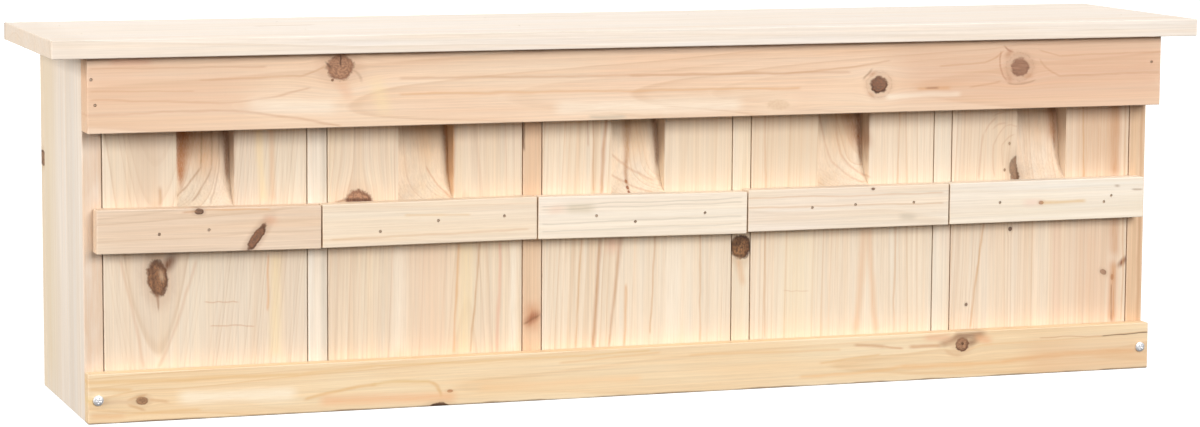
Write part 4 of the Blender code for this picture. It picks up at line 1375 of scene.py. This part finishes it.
def fourth_door() -> Door:
    """Describe the fourth door.

    Returns:
        The door, with rings that curve across its groove and a pointed arch below the bar.
    """
    return Door(4, panel_wood(
        4, (244, 224, 198), (222, 184, 143), Figure((15.0, 28.0), 2.5, 0.014, 0.0, 0.6, 0.42), cloud=(242, 220, 193),
        streaks=bands(
            (125.1, 158, 127.4, 133, 0.6, RUST, 0.4, -0.6), (127.4, 133, 142, 119.6, 0.6, RUST, 0.4, -1.6),
            (114.5, 158, 121.5, 128.5, 0.6, RUST, 0.35, -1), (121.5, 128.5, 139.6, 116.4, 0.6, RUST, 0.35, -1.4),
            # Both bands on this line are painted shade in the groove: a dark wedge by its right wall and a warm band
            # down its middle; the second band of the next line darkens the right wall itself, narrowing downwards.
            (131.5, 160, 139, 138, 3.6, (176, 106, 54), 0.6), (127, 161, 128, 134, 6, (240, 190, 134), 0.3),
            (96, 166, 96, 112, 24, (222, 186, 142), 0.32), (139.3, 162, 139.7, 128, 2.3, (134, 80, 40), 0.66, 0, 0.3),
            (138.3, 90, 134.2, 28, 2, (228, 182, 140), 0.5, 0.8),
            (142.2, 90, 147.2, 27.6, 1.6, (228, 182, 140), 0.5, -0.8), (88.8, 54.9, 103.8, 54.3, 0.3, SAND, 0.45),
            (98, 90, 96, 28, 9, (247, 226, 188), 0.4), (160, 159, 158, 28, 0.5, TAN, 0.5),
            (76, 159, 77, 28, 0.5, TAN, 0.45),
        ),
    ), bar_wood(
        4, (244, 225, 201), (226, 200, 169), Figure((10.0, 26.0), 3.2, 0.012, 0.0, 0.7, 0.4), cloud=(243, 224, 203),
        knots=(Knot((139.5, 114), 0.8, 1.4, core=BROWN, rim=DARK, push=0),),
        streaks=bands(
            (156.8, 97, 166.3, 96.6, 1.6, GREY, 0.55), (62, 111.1, 184, 110.2, 0.4, TAN, 0.45),
            (62, 105.4, 184, 104.3, 0.4, TAN, 0.4),
        ),
    ), 3, 0.1)


def fifth_door() -> Door:
    """Describe the fifth door.

    Returns:
        The door, with small arches left of its groove, brown bands on its right and several knots.
    """
    return Door(5, panel_wood(
        5, (242, 221, 195), (218, 180, 140), Figure((-30.5, 1.0), 2.5, 0.02, 0.02, 0.7, 0.42), cloud=(240, 217, 191),
        knots=(
            Knot((235, 121.4), 4, 1.85, core=(146, 106, 76), rim=(96, 64, 44), halo=0.5, edge=0.8),
            Knot((230.8, 136.8), 0.7, 1.3, core=BROWN, rim=DARK, push=0),
            Knot((227.9, 121.2), 0.7, 1.3, core=BROWN, rim=DARK, push=0),
            Knot((232.2, 86), 1.2, 1.1, core=(120, 84, 66), rim=(90, 60, 46)),
            Knot((204.6, 42), 0.9, 1.1, core=(140, 116, 100), rim=(120, 96, 80)),
            Knot((294, 57.8), 1.5, 1.5, 60, core=(126, 70, 40), rim=(84, 46, 28), edge=0.9),
            Knot((300, 54.6), 0.9, 1.9, core=(148, 88, 54), rim=(120, 72, 44)),
        ),
        streaks=bands(
            (304.4, 60.8, 309.9, 66, 1.5, (138, 78, 46), 0.85), (214.6, 144, 221.6, 152.4, 0.5, RUST, 0.4, 0.8),
            (219.8, 146, 228.6, 149, 0.5, RUST, 0.4, 1.2), (211.3, 117, 213.7, 143, 0.5, RUST, 0.4, 0.5),
            (278.4, 159, 279.5, 115, 0.5, TAN, 0.7), (299.2, 170, 300, 116, 2.9, (198, 142, 100), 0.7),
            (288, 166, 288, 114, 15, (214, 168, 128), 0.55),
            # Both bands on this line are painted shade in the groove: its right wall, narrowing downwards, and a warm
            # band down its middle; the first band of the next line browns the right wall's shade too.
            (264.6, 162, 265.2, 132, 2.3, (144, 88, 50), 0.6, 0, 0.3), (253, 161, 254, 136, 6, (234, 182, 128), 0.3),
            (261.5, 162, 264, 138, 2.6, (190, 128, 78), 0.45), (221.5, 118, 220.5, 136, 0.4, RUST, 0.4, 0.5),
            (220.5, 136, 228, 147.5, 0.4, RUST, 0.4, 0.9), (228, 147.5, 237, 146.5, 0.4, RUST, 0.35, 0.6),
            (226.5, 124, 226, 136, 0.4, RUST, 0.35, 0.4), (226, 136, 233.5, 142, 0.4, RUST, 0.4, 0.8),
            (220, 153.5, 231, 156, 0.4, RUST, 0.35, 0.8), (222, 158, 224, 120, 12, (226, 196, 162), 0.35),
            (262.2, 90, 263.5, 28, 2.6, (234, 198, 172), 0.5), (284, 90, 284.4, 28, 13, (226, 184, 150), 0.5),
            (300.5, 95, 300.9, 68, 2.9, (208, 154, 112), 0.6), (300, 64, 300.3, 28, 2.2, (208, 150, 104), 0.75),
            (299.5, 50, 300, 28, 0.4, BROWN, 0.65), (215.2, 90, 207.4, 28, 0.6, TAN, 0.6, -0.6),
            (306.5, 159, 306.8, 28, 0.5, TAN, 0.5),
        ),
    ), bar_wood(
        5, (246, 231, 208), (232, 208, 176), Figure((-12.0, 26.0), 3.0, 0.0, 0.0, 0.6, 0.36), cloud=(246, 231, 212),
        knots=(Knot((247.1, 102.4), 1.1, 1.5, core=(196, 140, 90), rim=(150, 104, 66), halo=0.6),),
        streaks=bands(
            (248.5, 102.3, 275.8, 102.3, 0.9, (226, 184, 124), 0.6),
            (236, 102.6, 246, 102.5, 2, (240, 206, 186), 0.5), (295.6, 110.8, 298, 110.6, 0.6, (156, 122, 92), 0.6),
            (307, 108.6, 313.4, 108.3, 0.5, (168, 136, 106), 0.6),
        ),
    ), 3, 0.0)


@dataclass
class FootStrip:
    """The honey-coloured strip that keeps the doors' feet in, and its screws."""

    board: str = "bottom_strip"
    screws: tuple[WoodScrew, ...] = (
        WoodScrew("strip_screw_left", "pan_screw_left", STRIP_BODY, "screw_steel", HeadShape.PAN, 1.0, 12.0),
        WoodScrew("strip_screw_right", "pan_screw_right", STRIP_BODY, "screw_steel", HeadShape.PAN, 1.0, 33.0),
    )
    wood: SawnWood = SawnWood(
        "strip_wood", GrainRun.LYING_ON_EDGE, early=(245, 219, 180), late=(226, 182, 130), cloud=(243, 211, 168),
        figure=Figure(pith=(4.0, 14.0), spacing=2.7, taper=-0.02, sway=0.9, contrast=0.42), seed=3.0,
        knots=(
            Knot((-290.4, 11.8), 2.2, 1.5, core=(176, 132, 96), rim=(124, 86, 60), halo=0.6, edge=0.6),
            Knot((-121.8, 0), 2.1, 2.6, core=(64, 40, 26), rim=(30, 20, 14), halo=0.3, edge=0.4, depth=1),
            Knot((-115.6, 8.2), 0.8, 2.2, core=(204, 150, 104), rim=(178, 124, 82), push=0),
            Knot((198.1, 20), 3.9, 1.08, core=(196, 146, 112), rim=(104, 66, 46), halo=0.6, edge=1),
            Knot((198.5, 20.4), 0.8, 1, core=DARK, rim=(80, 54, 38), halo=0.2, push=0),
        ),
        streaks=bands(
            (-320, 13.2, -317, 13, 1.8, (236, 202, 124), 0.55), (-314, 11.6, -294, 11.6, 1.1, (214, 178, 142), 0.5),
            (-298, 10, -289, 6.6, 0.6, TAN, 0.6), (-298, 12.6, -288, 15.4, 0.6, TAN, 0.6),
            (-286, 12, -276, 10.5, 0.8, TAN, 0.55), (-319, 19.2, -296, 18, 0.9, (228, 186, 132), 0.6),
            (-319, 4.3, -299.8, 4.4, 1.4, (228, 178, 126), 0.6), (-299.8, 4.4, -258.3, 5.5, 1, (232, 188, 132), 0.5),
            (-322, 23.1, -201.9, 22.1, 1.1, (230, 188, 132), 0.6),
            (-201.9, 22.1, -159.1, 24.5, 1, (230, 188, 132), 0.5),
            (-269.4, 12.4, -205, 11.6, 3, (253, 237, 211), 0.75),
            (-199.2, 7.6, -159.1, 14, 0.8, (226, 180, 122), 0.6, 1),
            (-190, 6.6, -112.7, 4.8, 2.4, (238, 182, 136), 0.6),
            (-160.8, 14.3, -127.3, 14.3, 0.8, (224, 184, 122), 0.55, 0.8),
            (-127.3, 14, -120.8, 6, 0.9, (222, 174, 114), 0.55, 1.5),
            (-159.1, 24.6, -56.7, 24.2, 0.6, (230, 190, 134), 0.5),
            (-56.7, 24.2, 3.2, 25.8, 0.6, (230, 190, 134), 0.5), (-98.1, 9, -2.7, 9.9, 2, (244, 202, 152), 0.55),
            (-50.8, 20.9, 9.3, 24.4, 0.6, (232, 190, 138), 0.5), (27.6, 21.8, 120.5, 20.3, 0.7, (232, 190, 138), 0.5),
            (129.9, 22.6, 148.9, 20.8, 0.9, (204, 152, 110), 0.6),
            (148.9, 20.8, 160, 19.6, 0.6, (212, 160, 118), 0.6),
            (108.1, 13.2, 145.9, 16.1, 0.6, (228, 184, 130), 0.55),
            (95.7, 5.4, 158.7, 8.2, 1, (236, 188, 132), 0.55, -0.6),
            (158.7, 8.2, 222.9, 8, 1.2, (234, 182, 124), 0.55),
            (222.9, 8, 311.7, 10.8, 1.3, (232, 178, 122), 0.6, 1.6),
            (164.8, 20.2, 184, 19.8, 0.9, (206, 150, 108), 0.6), (184, 20.6, 196, 25, 1.7, (160, 108, 74), 0.6, -0.8),
            (174.3, 24.8, 190.4, 24.1, 1.8, (232, 174, 136), 0.5),
            (194.5, 24.6, 212.5, 25.2, 1.9, (136, 90, 62), 0.65), (201.8, 20.4, 208.4, 22.2, 1.5, (132, 88, 62), 0.7),
            (207, 23.4, 216.6, 21.7, 2, (236, 174, 128), 0.6),
            (187.3, 17.1, 197, 13.4, 1, (214, 168, 126), 0.4, -0.8),
            (289.5, 20.7, 320, 21.8, 0.32, (84, 60, 44), 0.85),
            (248.7, 21.4, 289.5, 20.7, 0.3, (200, 150, 112), 0.55), (240, 8, 324, 8, 10, (226, 180, 138), 0.5),
            # This band darkens the strip's bottom edge: a painted contact shadow where it stands on the floor.
            (-322, 0.1, 322, 0.1, 0.55, (110, 80, 56), 0.75),
        ),
    )

    def build(self) -> None:
        """Dress the strip and turn its screws."""
        dress_board(self.board, self.wood)
        steel = SCREW_STEEL.material()
        for screw in self.screws:
            screw.build(steel)


@dataclass
class Hangers:
    """The two keyhole plates on the back and their screws."""

    sides: tuple[str, str] = ("left", "right")
    screws: int = 4
    first_twist_deg: float = 8.0
    twist_step_deg: float = 25.0

    def build(self) -> None:
        """Dress the plates and turn their screws."""
        steel = HANGER_STEEL.material()
        for side in self.sides:
            dress(f"hanger_plate_{side}", steel)
        for index in range(self.screws):
            twist = self.twist_step_deg * index + self.first_twist_deg
            WoodScrew(f"hanger_screw_{index + 1}", f"countersunk_screw_{index + 1}", HOUSING, "hanger_steel",
                      HeadShape.COUNTERSUNK, -1.0, twist, head=0.0018, neck=0.0013, tip=0.003).build(steel)


@dataclass(frozen=True)
class Softbox:
    """A soft square light: where it hangs, what it points at, how wide it is, and its power in watts."""

    name: str
    place: Triple
    width: float
    power: float
    target: Triple = (0.0, 0.0, 0.1)
    mirrored: bool = True

    def build(self) -> None:
        """Hang the light, which may be left out of reflections."""
        lamp = bpy.data.lights.new(self.name, "AREA")
        lamp.shape, lamp.size, lamp.energy = "SQUARE", self.width, self.power
        made = add_object(self.name, lamp)
        made.visible_camera, made.visible_glossy = False, self.mirrored
        made.location = self.place
        made.rotation_euler = (Vector(self.target) - Vector(self.place)).to_track_quat("-Z", "Y").to_euler()


@dataclass
class Studio:
    """The pale floor, the soft lights and the camera."""

    floor_radius: float = 16.0
    floor_rings: int = 12
    floor_sides: int = 64
    floor_seen: float = 0.35
    floor_glow: float = 0.88
    floor_bounce: float = 0.12
    floor_roughness: float = 0.9
    backdrop: float = 1.0
    fill: float = 0.40
    camera_place: Triple = (-0.67922, -1.96166, 0.35178)
    yaw_deg: float = 18.924
    pitch_deg: float = 6.990
    roll_deg: float = 0.296
    lens: float = 107.534
    sensor: float = 36.0
    clip_end: float = 100.0
    lights: tuple[Softbox, ...] = (
        Softbox("key_softbox", (0.95, -4.40, 1.95), 2.2, 177.0),
        Softbox("left_softbox", (-3.0, -0.6, 1.0), 1.6, 80.0),
        Softbox("right_softbox", (3.0, 0.3, 1.0), 1.6, 40.0, mirrored=False),
        Softbox("back_softbox", (0.3, 3.4, 0.95), 1.6, 60.0, mirrored=False),
        Softbox("backdrop_softbox", (1.0, 3.3, 1.5), 2.8, 22.0),
    )

    def build(self) -> None:
        """Set up the whole studio."""
        self._floor()
        self._world()
        for light in self.lights:
            light.build()
        self._camera()
        bpy.context.scene.view_settings.view_transform = "Standard"

    def _floor(self) -> None:
        """Lay a flat round floor: rings of points whose radius grows with the square of their number."""
        radius = self.floor_radius * (np.arange(1, self.floor_rings + 1) / self.floor_rings) ** 2
        turns = np.linspace(0.0, math.tau, self.floor_sides, endpoint=False)
        x, y = np.outer(radius, np.cos(turns)), np.outer(radius, np.sin(turns))
        points = np.stack((x, y, np.zeros_like(x)), axis=-1).reshape(-1, 3)
        index, after, quads = ring_faces(self.floor_rings, self.floor_sides)
        fan = np.stack((np.full(self.floor_sides, len(points)), index[0], after[0]), axis=-1)
        mesh = bpy.data.meshes.new("studio_floor")
        mesh.from_pydata([*points.tolist(), ORIGIN], [], quads.tolist() + fan.tolist())
        mesh.materials.append(self._floor_paint())
        add_object("studio_floor", mesh)

    def _floor_paint(self) -> bpy.types.Material:
        """Make the floor's white paint, which is darker to the light that it would throw back up.

        Returns:
            The paint.
        """
        made, wires, shader = new_material("pale_floor")
        wires.feeds(shader, Base_Color=(self.floor_seen,) * 3 + (1.0,), Roughness=self.floor_roughness,
                    Specular_IOR_Level=0.0, Emission_Color=WHITE, Emission_Strength=self.floor_glow)
        dim = wires.node("BsdfDiffuse", (self.floor_bounce,) * 3 + (1.0,))
        self._seen_mix(wires, dim, shader, made.node_tree.nodes["Material Output"])
        return made

    def _seen_mix(self, wires: Wiring, lighting: Node, seen: Node, end: Node) -> None:
        """Join one shader to what the camera sees and another to all other light.

        Args:
            wires: The wiring of the tree.
            lighting: The shader that gives light to the scene.
            seen: The shader that the camera sees.
            end: The tree's output node.
        """
        camera = wires.node("LightPath").outputs["Is Camera Ray"]
        mix = wires.node("MixShader", camera, lighting.outputs[0], seen.outputs[0])
        wires.feeds(end, Surface=mix.outputs[0])

    def _world(self) -> None:
        """Surround the studio with even white light, and with a white backdrop for the camera."""
        world = bpy.data.worlds.new("white_studio")
        world.use_nodes = True
        wires = Wiring(world.node_tree)
        lighting = wires.feeds(world.node_tree.nodes["Background"], Color=WHITE, Strength=self.fill)
        seen = wires.feeds(wires.node("Background"), Color=WHITE, Strength=self.backdrop)
        self._seen_mix(wires, lighting, seen, world.node_tree.nodes["World Output"])
        bpy.context.scene.world = world

    def _camera(self) -> None:
        """Stand the camera where the photograph was taken from."""
        yaw, pitch, roll = (math.radians(angle) for angle in (self.yaw_deg, self.pitch_deg, self.roll_deg))
        forward = Vector((math.sin(yaw) * math.cos(pitch), math.cos(yaw) * math.cos(pitch), -math.sin(pitch)))
        right = Vector((math.cos(yaw), -math.sin(yaw), 0.0))
        up = right.cross(forward)
        across = right * math.cos(roll) + up * math.sin(roll)
        above = up * math.cos(roll) - right * math.sin(roll)
        lens = bpy.data.cameras.new("photo_camera")
        lens.lens, lens.sensor_width, lens.clip_end = self.lens, self.sensor, self.clip_end
        camera = add_object("photo_camera", lens)
        turn = Matrix((across, above, -forward)).transposed().to_4x4()
        camera.matrix_world = Matrix.Translation(self.camera_place) @ turn
        bpy.context.scene.camera = camera


def main() -> None:
    """Build the studio and each sub-assembly's looks."""
    logging.basicConfig(level=logging.INFO, format="%(name)s: %(message)s")
    Studio().build()
    Roof().build()
    Fascia().build()
    Carcass().build()
    for door in (first_door(), second_door(), third_door(), fourth_door(), fifth_door()):
        door.build()
    FootStrip().build()
    Hangers().build()


if __name__ == "__main__":
    main()
